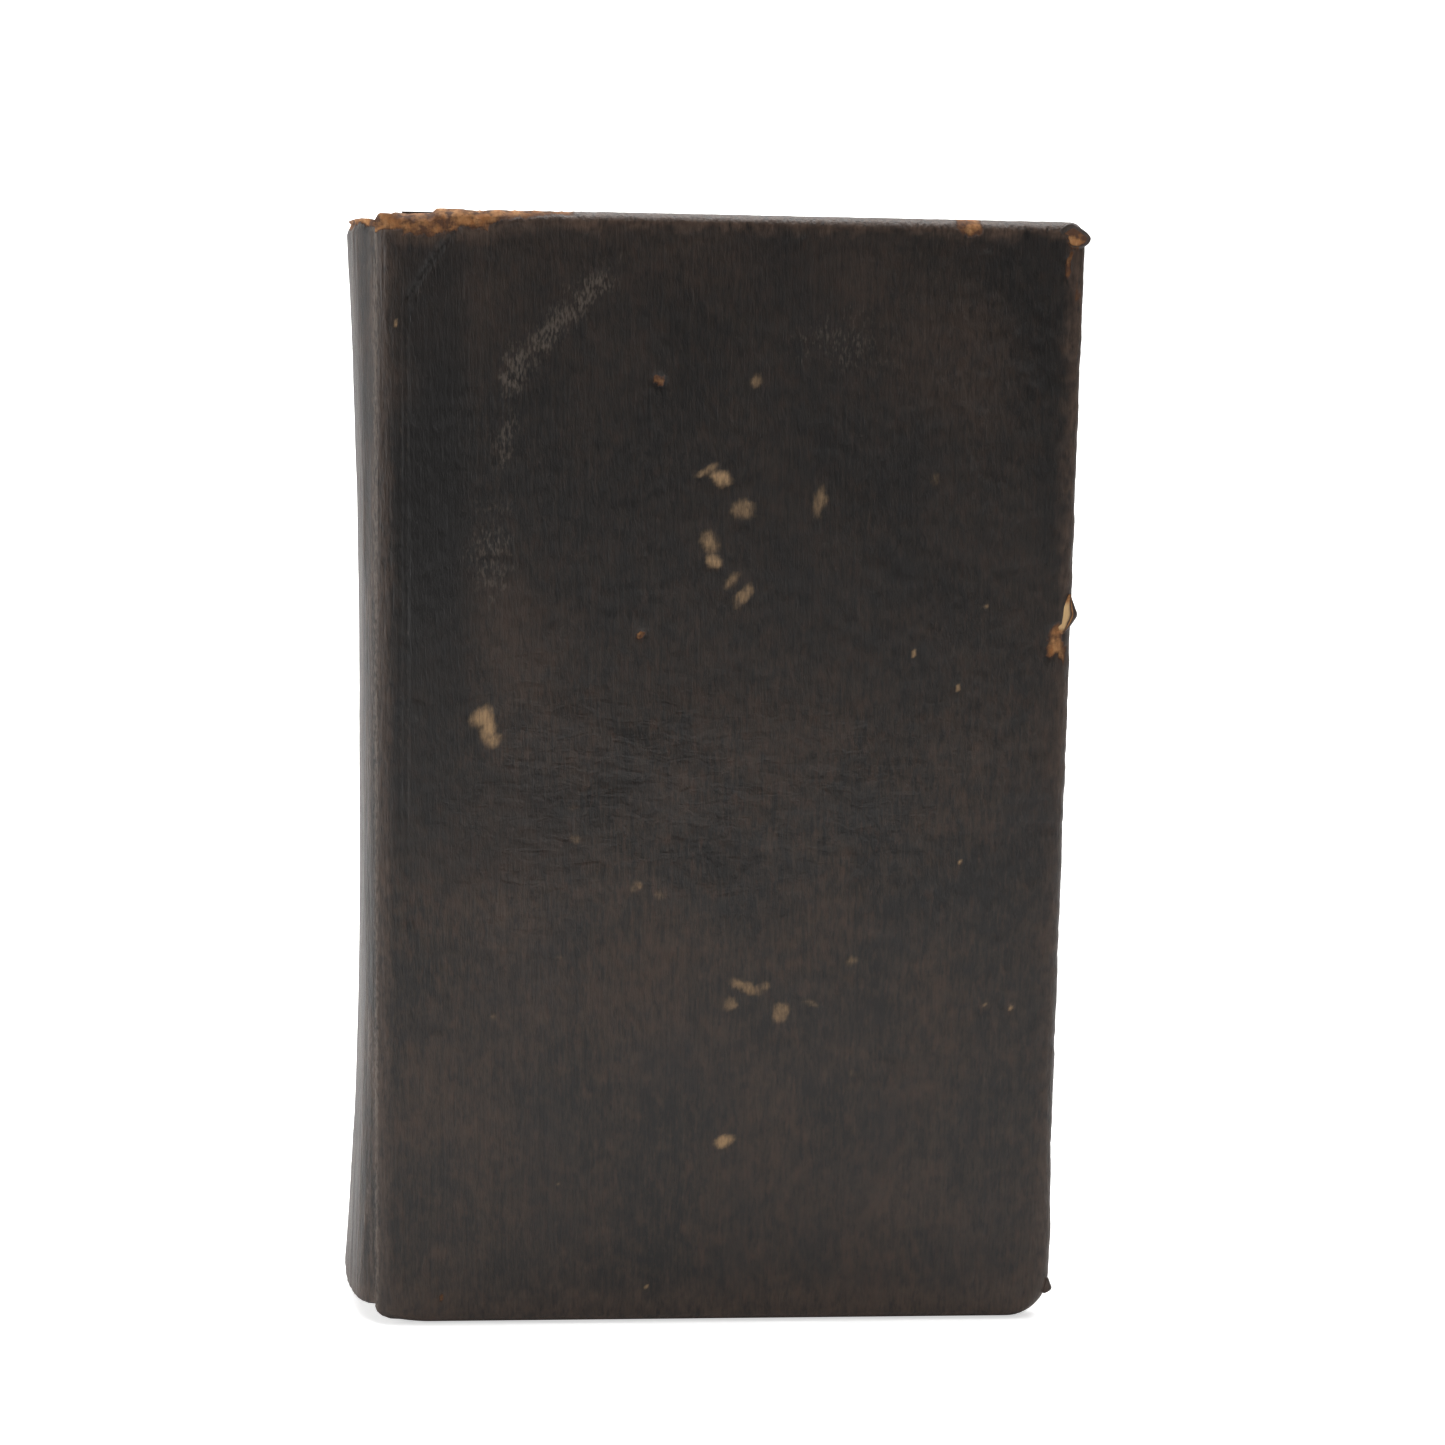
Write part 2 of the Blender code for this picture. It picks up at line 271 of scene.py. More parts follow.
class Graph:
    """Short ways to add and wire shader nodes."""

    def __init__(self, name):
        self.material = bpy.data.materials.new(name)
        self.material.use_nodes = True
        self.tree = self.material.node_tree
        self.shader = self.tree.nodes["Principled BSDF"]
        self.coords = self.add("ShaderNodeTexCoord").outputs["Object"]

    def add(self, kind, inputs=None, **settings):
        node = self.tree.nodes.new(kind)
        for key, value in settings.items():
            setattr(node, key, value)
        for key, value in (inputs or {}).items():
            self.wire(value, node.inputs[key])
        return node

    def wire(self, value, socket):
        if isinstance(value, bpy.types.NodeSocket):
            self.tree.links.new(value, socket)
        else:
            socket.default_value = value

    def stretched(self, *scale):
        """Object coordinates, times scale along each axis."""
        inputs = {"Vector": self.coords, "Scale": scale}
        return self.add("ShaderNodeMapping", inputs).outputs["Vector"]

    def noise(self, *scale, detail=3.0, roughness=0.55, distortion=0.0):
        inputs = {"Vector": self.stretched(*scale), "Scale": 1.0, "Detail": detail,
                  "Roughness": roughness, "Distortion": distortion}
        return self.add("ShaderNodeTexNoise", inputs).outputs["Fac"]

    def attribute(self, name):
        return self.add("ShaderNodeAttribute", attribute_name=name).outputs["Fac"]

    def math(self, operation, a, b=0.0, c=0.0, clamp=False):
        node = self.add("ShaderNodeMath", {0: a, 1: b, 2: c}, operation=operation, use_clamp=clamp)
        return node.outputs["Value"]

    def times(self, a, b):
        return self.math("MULTIPLY", a, b)

    def total(self, start, *parts):
        """start plus each (noise, weight), counted from the noise's middle, held between 0 and 1."""
        value = start - sum(weight / 2 for _, weight in parts)
        for noise, weight in parts[:-1]:
            value = self.math("MULTIPLY_ADD", noise, weight, value)
        noise, weight = parts[-1]
        return self.math("MULTIPLY_ADD", noise, weight, value, clamp=True)

    def step(self, value, low, high):
        """An S-curve from 0 to 1 as value goes from low to high."""
        inputs = {"Value": value, "From Min": low, "From Max": high}
        return self.add("ShaderNodeMapRange", inputs, interpolation_type="SMOOTHSTEP").outputs["Result"]

    def between(self, value, low, high):
        """value, from 0 to 1, brought into low to high."""
        inputs = {"Value": value, "To Min": low, "To Max": high}
        return self.add("ShaderNodeMapRange", inputs).outputs["Result"]

    def mix(self, factor, a, b):
        """Colour a where factor is 0, b where it's 1."""
        node = self.add("ShaderNodeMix", data_type="RGBA")
        self.wire(factor, node.inputs["Factor"])
        colours = [socket for socket in node.inputs if socket.type == "RGBA"]
        for value, socket in zip((a, b), colours):
            self.wire(value if isinstance(value, bpy.types.NodeSocket) else (*value, 1.0), socket)
        return next(socket for socket in node.outputs if socket.type == "RGBA")

    def bump(self, height, strength, depth, before=None):
        inputs = {"Height": height, "Strength": strength, "Distance": depth}
        if before is not None:
            inputs["Normal"] = before
        return self.add("ShaderNodeBump", inputs).outputs["Normal"]

    def finish(self, colour, roughness, normal=None, **constants):
        self.wire(colour, self.shader.inputs["Base Color"])
        self.wire(roughness, self.shader.inputs["Roughness"])
        if normal is not None:
            self.wire(normal, self.shader.inputs["Normal"])
        for key, value in constants.items():
            self.shader.inputs[key.replace("_", " ")].default_value = value
        return self.material


# --- leather

LEATHER_DARK = (0.0085, 0.0062, 0.0052)
LEATHER_LIGHT = (0.0375, 0.0242, 0.0160)
LEATHER_RED = (0.062, 0.031, 0.020)
# Darker than the leather: painted shade over the head of each cover, and darker places beside the joint
LEATHER_SHADE_AND_DARK = (0.0055, 0.0042, 0.0038)
LEATHER_COLD = (0.0075, 0.0085, 0.0105)
LEATHER_RUBBED = (0.085, 0.052, 0.036)
# Light grey for scuffs, and also for a painted highlight along the joint crease and the tooled lines
LEATHER_GREY = (0.120, 0.094, 0.074)
LEATHER_RAW = (0.30, 0.120, 0.035)
LEATHER_RAW_PALE = (0.46, 0.230, 0.088)
LEATHER_RAW_DARK = (0.085, 0.036, 0.017)
LEATHER_FRESH = (0.62, 0.41, 0.20)
LEATHER_BEIGE = (0.42, 0.265, 0.135)
LEATHER_NUMBERS = ("raw", "pale", "rubbed", "scuffed", "crack", "shade_and_dark", "wrinkled")


def grain_colour(g, flecks, streaks, mottle, blotches):
    """Unworn leather: nearly black, lighter in flecks and streaks, reddish or cold in places."""
    tone = g.total(0.42, (flecks, 2.0), (streaks, 1.3), (mottle, 1.7), (blotches, 2.0))
    colour = g.mix(tone, LEATHER_DARK, LEATHER_LIGHT)
    red = g.total(0.0, (g.noise(1500, 1500, 430), 2.6), (mottle, 2.2), (blotches, 1.5))
    colour = g.mix(g.times(red, 0.65), colour, LEATHER_RED)
    cold = g.total(-0.1, (g.noise(60, 60, 45, detail=5.0), 4.0), (flecks, 1.2))
    return g.mix(g.times(cold, 0.5), colour, LEATHER_COLD)


def bare_colour(g, raw, mottle, ragged):
    """Leather without its grain layer: orange-brown fibres, stained, lightest where it tore."""
    fibres = g.total(0.5, (g.noise(900, 900, 340, detail=5.0), 3.4), (mottle, 2.2))
    bare = g.mix(fibres, LEATHER_RAW, LEATHER_RAW_PALE)
    stain = g.total(0.38, (g.noise(420, 420, 620, detail=5.0), 5.5), (ragged, 2.0))
    bare = g.mix(stain, bare, LEATHER_RAW_DARK)
    bare = g.mix(g.step(raw, 0.40, 1.05), LEATHER_RAW_DARK, bare)
    return g.mix(g.attribute("pale"), bare, LEATHER_FRESH)


def leather_relief(g, flecks, streaks, crack, raw_edge):
    """The bumps of the leather's grain, its wrinkles, and its cracks and worn places."""
    pores = g.noise(5200, 5200, 2300, detail=2.0)
    wrinkles = g.times(g.attribute("wrinkled"), g.noise(250, 250, 560, detail=2.0, distortion=1.0))
    height = g.times(flecks, 0.7)
    for part, weight in ((streaks, 0.8), (pores, 0.2), (wrinkles, 0.9), (crack, -0.5), (raw_edge, -0.5)):
        height = g.math("MULTIPLY_ADD", part, weight, height)
    return g.bump(height, 0.8, 0.25 * MM)


def leather_material(name):
    """Dark straight-grain leather, worn as the numbers painted on its pieces say.

    They are raw (the grain layer is gone), pale (a beige spot, or a fresh tear where the leather
    is raw), rubbed (brown, polished by hands), scuffed (fine light strokes, and a painted
    highlight along the joint crease and the tooled lines), crack (a dark line), shade_and_dark (painted
    shade over the head of each cover, and darker places) and wrinkled.
    """
    g = Graph(name)
    flecks = g.noise(2300, 2300, 520, roughness=0.6)
    streaks = g.noise(1500, 1500, 120)
    mottle = g.noise(430, 430, 300, detail=4.0, roughness=0.6)
    blotches = g.noise(48, 48, 34, detail=4.0)
    ragged = g.noise(1100, 1100, 520, detail=4.0, roughness=0.65)
    strokes = g.noise(2700, 2700, 1000, detail=2.0, roughness=0.5)

    rubbed = g.times(g.attribute("rubbed"), g.total(0.75, (ragged, 2.6), (flecks, 1.5)))
    strokes = g.math("MULTIPLY_ADD", g.attribute("scuffed"), 0.35, strokes)
    scuffed = g.times(g.step(strokes, 0.66, 0.96), g.attribute("scuffed"))
    crack = g.times(g.attribute("crack"), g.total(0.7, (ragged, 2.0)))
    pale = g.math("ADD", g.attribute("pale"), g.between(ragged, -0.45, 0.45))
    pale = g.times(g.step(pale, 0.0, 1.15), g.step(g.attribute("pale"), 0.0, 0.35))
    pale = g.times(pale, g.total(0.85, (flecks, 1.6)))
    raw = g.math("ADD", g.attribute("raw"), g.between(ragged, -0.5, 0.5))
    raw_edge = g.step(raw, 0.30, 0.62)
    # Among these layers are painted shade over the covers' heads and a painted highlight along the joint
    # crease and tooled lines
    layers = ((g.attribute("shade_and_dark"), LEATHER_SHADE_AND_DARK), (rubbed, LEATHER_RUBBED),
              (g.times(scuffed, 0.7), LEATHER_GREY), (crack, LEATHER_DARK), (pale, LEATHER_BEIGE),
              (raw_edge, bare_colour(g, raw, mottle, ragged)))
    colour = grain_colour(g, flecks, streaks, mottle, blotches)
    for amount, layer in layers:
        colour = g.mix(amount, colour, layer)

    roughness = g.math("ADD", g.between(flecks, 0.34, 0.52), g.between(blotches, -0.08, 0.08))
    worn = g.math("MAXIMUM", raw_edge, pale)
    roughness = g.math("MULTIPLY_ADD", worn, 0.35, roughness, clamp=True)
    normal = leather_relief(g, flecks, streaks, crack, raw_edge)
    return g.finish(colour, roughness, normal, Specular_IOR_Level=0.44)


# --- paper, board and cloth

PAGE_PALE = (0.64, 0.52, 0.35)
PAGE_DARK = (0.54, 0.41, 0.25)


def paper_colour(g, pale, dark, foxing):
    """Toned in clouds, browner at its edges, with a few foxed spots."""
    clouds = g.noise(38, 38, 30, detail=5.0)
    colour = g.mix(g.step(clouds, 0.30, 0.75), pale, dark)
    spots = g.noise(160, 160, 160, detail=2.0, roughness=0.4)
    spots = g.times(g.step(spots, 0.66, 0.74), foxing)
    colour = g.mix(spots, colour, (0.30, 0.16, 0.07))
    edge = g.times(g.attribute("edge"), g.between(clouds, 0.4, 1.2))
    return g.mix(edge, colour, (0.25, 0.16, 0.085))


def paper_material(name, pale, dark, foxing):
    g = Graph(name)
    fibres = g.noise(2600, 2600, 900, detail=2.0)
    colour = paper_colour(g, pale, dark, foxing)
    return g.finish(colour, 0.85, g.bump(fibres, 0.25, 0.05 * MM), Specular_IOR_Level=0.25)


def leaves_material(name):
    """A gathering of leaves: pages where its faces are flat, fine toned lines at its cut edges."""
    g = Graph(name)
    lines = g.noise(22, 6500, 12, roughness=0.7)
    clouds = g.noise(30, 60, 24, detail=5.0)
    cut = g.mix(g.step(lines, 0.30, 0.70), (0.27, 0.17, 0.085), (0.60, 0.455, 0.28))
    cut = g.mix(g.times(g.step(clouds, 0.45, 0.75), 0.5), cut, (0.30, 0.19, 0.10))
    page = paper_colour(g, PAGE_PALE, PAGE_DARK, 0.6)
    flat = g.attribute("flat")
    height = g.times(lines, g.math("SUBTRACT", 1.0, flat))
    return g.finish(g.mix(flat, cut, page), 0.85, g.bump(height, 0.4, 0.06 * MM), Specular_IOR_Level=0.25)


def board_material(name):
    g = Graph(name)
    layers = g.noise(300, 2400, 300, detail=4.0)
    clouds = g.noise(60, 60, 60)
    colour = g.mix(layers, (0.20, 0.145, 0.09), (0.36, 0.28, 0.19))
    colour = g.mix(g.times(clouds, 0.5), colour, (0.16, 0.11, 0.07))
    return g.finish(colour, g.between(clouds, 0.8, 0.95), g.bump(layers, 0.5, 0.1 * MM))


def weave_material(name, light, dark, threads_per_m):
    """An open plain weave: crossing waves along the height and across it."""
    g = Graph(name)
    vector = g.stretched(threads_per_m, threads_per_m, threads_per_m)
    across = g.add("ShaderNodeTexWave", {"Vector": vector, "Scale": 0.31}, bands_direction="Z")
    along = g.add("ShaderNodeTexWave", {"Vector": vector, "Scale": 0.31}, bands_direction="Y")
    weave = g.math("MAXIMUM", across.outputs["Fac"], along.outputs["Fac"])
    dirt = g.noise(70, 70, 70, detail=4.0)
    colour = g.mix(weave, dark, light)
    colour = g.mix(g.times(dirt, 0.5), colour, dark)
    return g.finish(colour, g.between(dirt, 0.85, 1.0), g.bump(weave, 0.6, 0.15 * MM))


def cord_material(name):
    g = Graph(name)
    twist = g.add("ShaderNodeTexWave", {"Vector": g.stretched(900, 900, 900), "Scale": 0.5,
                                        "Distortion": 1.5}, bands_direction="DIAGONAL")
    dirt = g.noise(200, 200, 200, detail=4.0)
    colour = g.mix(twist.outputs["Fac"], (0.20, 0.14, 0.08), (0.50, 0.40, 0.26))
    return g.finish(colour, g.between(dirt, 0.8, 1.0), g.bump(twist.outputs["Fac"], 0.7, 0.12 * MM))


def endband_material(name):
    """Faded two-colour silk wound round a core: each turn has a painted number from 0 to 1."""
    g = Graph(name)
    dirt = g.noise(400, 400, 400, detail=4.0)
    turn = g.step(g.attribute("stripe"), 0.45, 0.55)
    colour = g.mix(turn, (0.42, 0.33, 0.20), (0.17, 0.050, 0.030))
    colour = g.mix(g.times(dirt, 0.6), colour, (0.11, 0.075, 0.045))
    return g.finish(colour, g.between(dirt, 0.55, 0.8), g.bump(dirt, 0.4, 0.05 * MM))


# --- cover skins

FACE_STEP = 0.6 * MM
FINE_STEP = 0.3 * MM
CORNER_STEP = 0.12 * MM
RIM_STEPS = 5
COARSE = 4
LEATHER = 0.9 * MM
RIDGE = 6.0 * MM
RIDGE_CURVE = 4
BOW = 0.35 * MM
JOINT_TAIL_REACH = 8.0 * MM
JOINT_HEAD_REACH = 2.2 * MM


def graded(*stretches):
    """A rising list through stretches of (end, step), with a number of steps COARSE can divide."""
    values = [0.0]
    for end, step in stretches:
        count = max(COARSE, COARSE * round((end - values[-1]) / step / COARSE))
        values += list(np.linspace(values[-1], end, count + 1)[1:])
    return np.array(values) / values[-1]


def drawn_in(along, low, high, low_corner, high_corner):
    """How far a side is drawn in by its corners.  Each has a reach along the side and across it."""
    inset = np.zeros_like(along)
    for beyond, (reach, depth) in ((along - low, low_corner), (high - along, high_corner)):
        part = np.clip(1 - beyond / reach, 0, 1)
        inset += depth * (1 - np.sqrt(1 - part * part))
    return inset


def face_grid(columns, rows):
    """x and z of a grid over a cover's face, whose four sides follow its rounded outline."""
    left, right = CREASE, FORE_EDGE - EDGE_ROUND
    low, high = EDGE_ROUND, HEIGHT - EDGE_ROUND
    reach = {}
    for (side_x, side_z), radius in CORNER_RADII.items():
        reach[side_x, side_z] = (radius - EDGE_ROUND, radius - EDGE_ROUND)
    reach[-1, -1] = (JOINT_TAIL_REACH, reach[-1, -1][1])
    reach[-1, 1] = (JOINT_HEAD_REACH, reach[-1, 1][1])
    half = 1 - math.sqrt(0.5)

    def level_side(side_z, base):
        a, b = reach[-1, side_z], reach[1, side_z]
        x = left + half * a[0] + columns * (right - left - half * (a[0] + b[0]))
        return np.stack([x, base - side_z * drawn_in(x, left, right, a, b)], axis=-1)

    def upright_side(side_x, base):
        a, b = reach[side_x, -1], reach[side_x, 1]
        z = low + half * a[1] + rows * (high - low - half * (a[1] + b[1]))
        return np.stack([base - side_x * drawn_in(z, low, high, a[::-1], b[::-1]), z], axis=-1)

    bottom, top = level_side(-1, low)[None], level_side(1, high)[None]
    start, end = upright_side(-1, left)[:, None], upright_side(1, right)[:, None]
    s, t = columns[None, :, None], rows[:, None, None]
    corners = ((1 - s) * (1 - t) * bottom[:, :1] + s * (1 - t) * bottom[:, -1:]
               + (1 - s) * t * top[:, :1] + s * t * top[:, -1:])
    return (1 - t) * bottom + t * top + (1 - s) * start + s * end - corners


def grid_loop(numbers):
    """The numbers along the four sides of a grid, anticlockwise from its first point."""
    return np.concatenate([numbers[0, :-1], numbers[:-1, -1], numbers[-1, :0:-1], numbers[:0:-1, 0]])


def loop_outward(points):
    """Unit directions out of an anticlockwise loop of (x, z) points."""
    ahead = np.roll(points, -1, axis=0) - points
    ahead /= np.linalg.norm(ahead, axis=1, keepdims=True)
    along = ahead + np.roll(ahead, 1, axis=0)
    along /= np.linalg.norm(along, axis=1, keepdims=True)
    return np.stack([along[:, 1], -along[:, 0]], axis=1)


def cover_level(x, z):
    """How far a cover's smooth face lies from the middle of the book: low at the joint crease."""
    across = x - CREASE
    joint = (OUTSIDE - CREASE_Y) * np.clip(1 - across / RIDGE, 0, 1) ** RIDGE_CURVE
    bow = BOW * np.sin(np.pi * np.clip(across / (FORE_EDGE - CREASE), 0, 1)) * np.sin(np.pi * z / HEIGHT)
    return OUTSIDE - joint + bow


def rim_profile():
    """How far out and how far down each ring of a cover's edge lies from its face.

    The first pair is for the free edges, which wrap the board; the second for the hinge strip.
    """
    free = []
    for step in range(1, RIM_STEPS + 1):
        angle = math.pi / 2 * step / RIM_STEPS
        free.append((EDGE_ROUND * math.sin(angle), EDGE_ROUND * (1 - math.cos(angle))))
    depth = OUTSIDE - TURN_IN_FACE
    inside = EDGE_ROUND - LEATHER
    free += [(EDGE_ROUND, 0.65 * depth), (EDGE_ROUND, depth - 0.4 * MM), (EDGE_ROUND - 0.4 * MM, depth)]
    thin = [(0.0, LEATHER * (step + 1) / len(free)) for step in range(len(free))]
    free += [(inside, depth), (inside, LEATHER)]
    thin += [(-0.4 * MM, LEATHER), (-0.8 * MM, LEATHER)]
    return list(zip(free, thin))


def cover_grid():
    """x and z of a fine grid over a cover's outer face."""
    border = 1 * MM
    width = FORE_EDGE - EDGE_ROUND - CREASE
    height = HEIGHT - 2 * EDGE_ROUND
    columns = graded((border, CORNER_STEP), (8 * MM, FINE_STEP), (width - border, FACE_STEP),
                     (width, CORNER_STEP))
    rows = graded((border, 2 * CORNER_STEP), (height - 6 * MM, FACE_STEP), (height - border, FINE_STEP),
                  (height, CORNER_STEP))
    return face_grid(columns, rows)


def edge_rings(edge):
    """Rings of points that carry the loop round a cover's face over its edges."""
    out = loop_outward(edge[:, [0, 2]])
    free = 1 - np.clip(-out[:, 0], 0, 1)
    deep = smooth(edge[:, 0] - CREASE, 1.8 * MM, 4.2 * MM)
    rings = []
    for (wide, low), (thin_wide, thin_low) in rim_profile():
        offset = free * wide + (1 - free) * thin_wide
        drop = deep * low + (1 - deep) * thin_low
        rings.append(edge + np.column_stack([offset * out[:, 0], -drop, offset * out[:, 1]]))
    return rings


def stitch(fine, coarse):
    """Faces between a fine loop and a coarse one, which has a point for every COARSE of its points."""
    fine = fine + fine[:1]
    coarse_pairs = zip(coarse, coarse[1:] + coarse[:1])
    return [(*fine[COARSE * k:COARSE * k + COARSE + 1], b, a) for k, (a, b) in enumerate(coarse_pairs)]


def make_cover_skin(label, side, material, seed):
    """The leather of one cover: a fine outer face, its rounded edges and a coarse inner face."""
    grid = cover_grid()
    x, z = grid[..., 0], grid[..., 1]
    face = np.stack([x, cover_level(x, z), z], axis=-1)
    outer = face.reshape(-1, 3)
    numbers = np.arange(len(outer)).reshape(x.shape)
    loop = list(grid_loop(numbers))
    edges = edge_rings(outer[loop])
    inner = face[::COARSE, ::COARSE] - (0, LEATHER, 0)
    points = np.concatenate([outer, *edges, inner.reshape(-1, 3)])
    inner_numbers = np.arange(inner.size // 3).reshape(inner.shape[:2]) + len(points) - inner.size // 3

    rings = [loop] + numbered(edges, len(outer))
    faces = grid_faces(numbers) + ring_faces(rings)
    faces += [face[::-1] for face in grid_faces(inner_numbers)]
    faces += stitch(rings[-1], list(grid_loop(inner_numbers)))
    worn = wear_cover(label, points, len(outer), seed)
    points[:, 1] *= side
    skin = make_mesh_object(f"{label}_cover_skin", points, faces, material)
    paint_leather(skin, **worn)
    shade(skin, 50)
    attach(skin, f"{label}_cover", "cover_leather", f"{label}_cover_leather")


def grid_faces(numbers):
    a, b = numbers[:-1, :-1], numbers[:-1, 1:]
    c, d = numbers[1:, 1:], numbers[1:, :-1]
    return np.stack([a, b, c, d], axis=-1).reshape(-1, 4).tolist()


# --- wear of the covers

COVER_HEIGHT = HEIGHT / MM
COVER_WIDTH = (FORE_EDGE - CREASE) / MM

# Spots, in mm: (across, up, half width, half height, tilt in degrees, strength).  The back cover
# has only a few of them, the pale ones mirrored.
RAW_ON_BOTH = [(109.1, 5.1, 0.5, 0.9, 0, 0.8), (28.6, 23.1, 0.25, 0.6, 0, 0.5)]
RAW_ON_FRONT = [
    (43.2, 150.8, 1.0, 1.1, 0, 0.8), (40.6, 111.7, 0.8, 0.8, 0, 1.0), (10.4, 4.3, 0.3, 0.9, 25, 0.7),
    (90.2, 175.3, 2.3, 2.2, 0, 1.0), (107.0, 173.0, 1.9, 1.2, -12, 0.9), (106.0, 111.2, 1.5, 3.2, 12, 1.0),
    (107.3, 109.0, 0.7, 1.8, 0, 0.8), (106.1, 169.6, 0.7, 3.2, 4, 0.7), (107.3, 165.5, 0.6, 3.6, -3, 0.6),
]
PALE_ON_BOTH = [
    (55.9, 52.8, 1.1, 1.0, 0, 0.55), (61.4, 55.8, 0.8, 0.7, 0, 0.4), (63.9, 51.6, 1.3, 1.3, 0, 0.6),
    (68.7, 52.9, 1.4, 0.6, 20, 0.45), (75.2, 59.9, 0.9, 0.7, 0, 0.35), (55.3, 30.2, 1.4, 0.9, -20, 1.0),
    (28.6, 60.5, 0.5, 0.6, 0, 0.3), (18.6, 50.8, 0.6, 0.7, 0, 0.3), (86.0, 136.0, 0.9, 1.1, 0, 0.3),
    (30.5, 84.0, 0.8, 0.6, 0, 0.2), (76.0, 41.0, 0.9, 0.7, 0, 0.2),
]
PALE_ON_FRONT = [
    (58.2, 151.1, 0.9, 1.0, 0, 0.45), (51.0, 137.2, 1.6, 0.6, -25, 0.6), (52.9, 135.9, 1.5, 0.9, 10, 1.0),
    (56.6, 131.3, 1.6, 1.5, -30, 0.6), (57.2, 132.2, 0.7, 0.8, 0, 0.75), (68.4, 132.8, 1.0, 2.3, 8, 0.5),
    (51.4, 125.8, 1.3, 1.7, 0, 0.6), (52.3, 122.9, 1.1, 0.9, 0, 0.85), (54.8, 120.0, 0.7, 1.6, 35, 0.5),
    (56.6, 117.6, 0.9, 2.0, 35, 0.5), (16.4, 98.4, 1.4, 1.4, 0, 0.9), (17.5, 97.0, 0.9, 2.4, 0, 0.9),
    (18.4, 94.9, 1.0, 0.9, 20, 0.7), (31.1, 79.2, 0.8, 1.0, 0, 0.3), (40.7, 71.8, 0.9, 0.8, 0, 0.4),
    (44.3, 70.6, 0.9, 0.7, 0, 0.3), (58.4, 55.6, 2.2, 0.7, 25, 0.6),
]
SCUFFS = [
    (32.0, 163.5, 3.4, 10.0, 47, 0.9), (26.0, 157.5, 3.2, 9.0, 30, 0.9), (21.5, 152.5, 3.2, 8.0, 20, 0.85),
    (20.0, 142.0, 2.6, 8.5, 8, 0.7), (17.5, 124.0, 5.0, 12.0, 0, 0.7), (71.7, 157.4, 12.0, 7.0, 0, 0.6),
]
DARK_SPOT = (14, 82, 28, 15, 0, 0.55)
COARSE_GRAIN_SPOT = (95, 152, 16, 24, 0)
WRINKLED_SPOT = (50, 86, 66, 34, 0)

# (across, up) in mm
SPECKS = [(3.2, 158.7), (94.7, 116.5), (83.7, 109.1), (90.8, 103.7), (91.9, 75.8), (96.5, 52.7),
          (101.0, 52.2), (43.0, 6.0), (28.6, 23.1)]
SPECK_SIZE = (0.36, 0.5, 0)
CREASE_LINE = [(12.4, 172.8), (9.6, 169.6), (7.4, 166.4), (5.2, 162.8)]
TOOLED_LINES = [4.0, 4.9]


def near_spot(across, up, spot):
    """1 at the middle of a spot and 0 at its edge and beyond, growing negative."""
    x, z, half_width, half_height, tilt = spot[:5]
    turn = math.radians(tilt)
    dx, dz = across - x, up - z
    along = (dx * math.cos(turn) - dz * math.sin(turn)) / half_width
    upward = (dx * math.sin(turn) + dz * math.cos(turn)) / half_height
    return 1 - np.sqrt(along ** 2 + upward ** 2)


def near_line(across, up, a, b, width):
    """1 on a stretch from a to b, falling to 0 at some widths beside it."""
    start, along = np.array(a), np.array(b) - np.array(a)
    rel = np.stack([across, up], axis=-1) - start
    part = np.clip(rel @ along / (along @ along), 0, 1)
    beside = rel - part[:, None] * along
    return np.exp(-(beside ** 2).sum(axis=1) / width ** 2)


class CoverPlaces:
    """Where a cover skin's points lie, in mm, with the noises that several kinds of wear share."""

    def __init__(self, label, points, seed):
        self.front = label == "front"
        self.seed = seed
        self.across = (points[:, 0] - CREASE) / MM
        self.up = points[:, 2] / MM
        self.at = np.stack([self.across, self.up, points[:, 1] / MM], axis=1)
        self.ragged = self.noise((2.2, 2.2, 2.2), 9)
        self.clouds = self.noise((22, 22, 22), 13, 4)
        self.across_warped = self.across + 0.55 * self.noise((1.6, 1.6, 1.6), 0)
        self.up_warped = self.up + 0.55 * self.noise((1.6, 1.6, 1.6), 5)
        reach = 34 if self.front else 14
        self.band = 2.3 + 1.2 * self.ragged + 0.9 * smooth(20 - self.across, 0, 6)
        self.band *= smooth(reach - self.across, 0, reach - 12)

    def noise(self, size, step, octaves=3):
        return fractal(self.at, size, self.seed + step, octaves)

    def spot(self, spot, low, high, rough=0.0):
        """The strength of a spot with a wavering outline."""
        near = near_spot(self.across_warped, self.up_warped, spot)
        return spot[5] * smooth(near + rough * self.ragged, low, high)

    def plain_spot(self, spot, low, high, rough=0.0):
        """An even spot, from 0 to 1, roughened by the clouds."""
        return smooth(near_spot(self.across, self.up, spot) + rough * self.clouds, low, high)


def raw_leather(p):
    """Bare leather along the head, from the joint to where the edge is whole again, and in spots."""
    head = smooth(p.up - (COVER_HEIGHT - p.band), -1.1, 1.0) * (p.band > 0.15)
    spots = RAW_ON_BOTH + (RAW_ON_FRONT if p.front else [])
    return most(head, *[p.spot(spot, -0.25, 0.55) for spot in spots])


def pale_spots(p):
    if p.front:
        spots = PALE_ON_BOTH + PALE_ON_FRONT
    else:
        spots = [(COVER_WIDTH - spot[0], *spot[1:]) for spot in PALE_ON_BOTH]
    specks = [0.9 * p.plain_spot((*speck, *SPECK_SIZE), -0.1, 0.5) for speck in SPECKS]
    return most(*[p.spot(spot, -0.9, 0.7) for spot in spots], *specks)


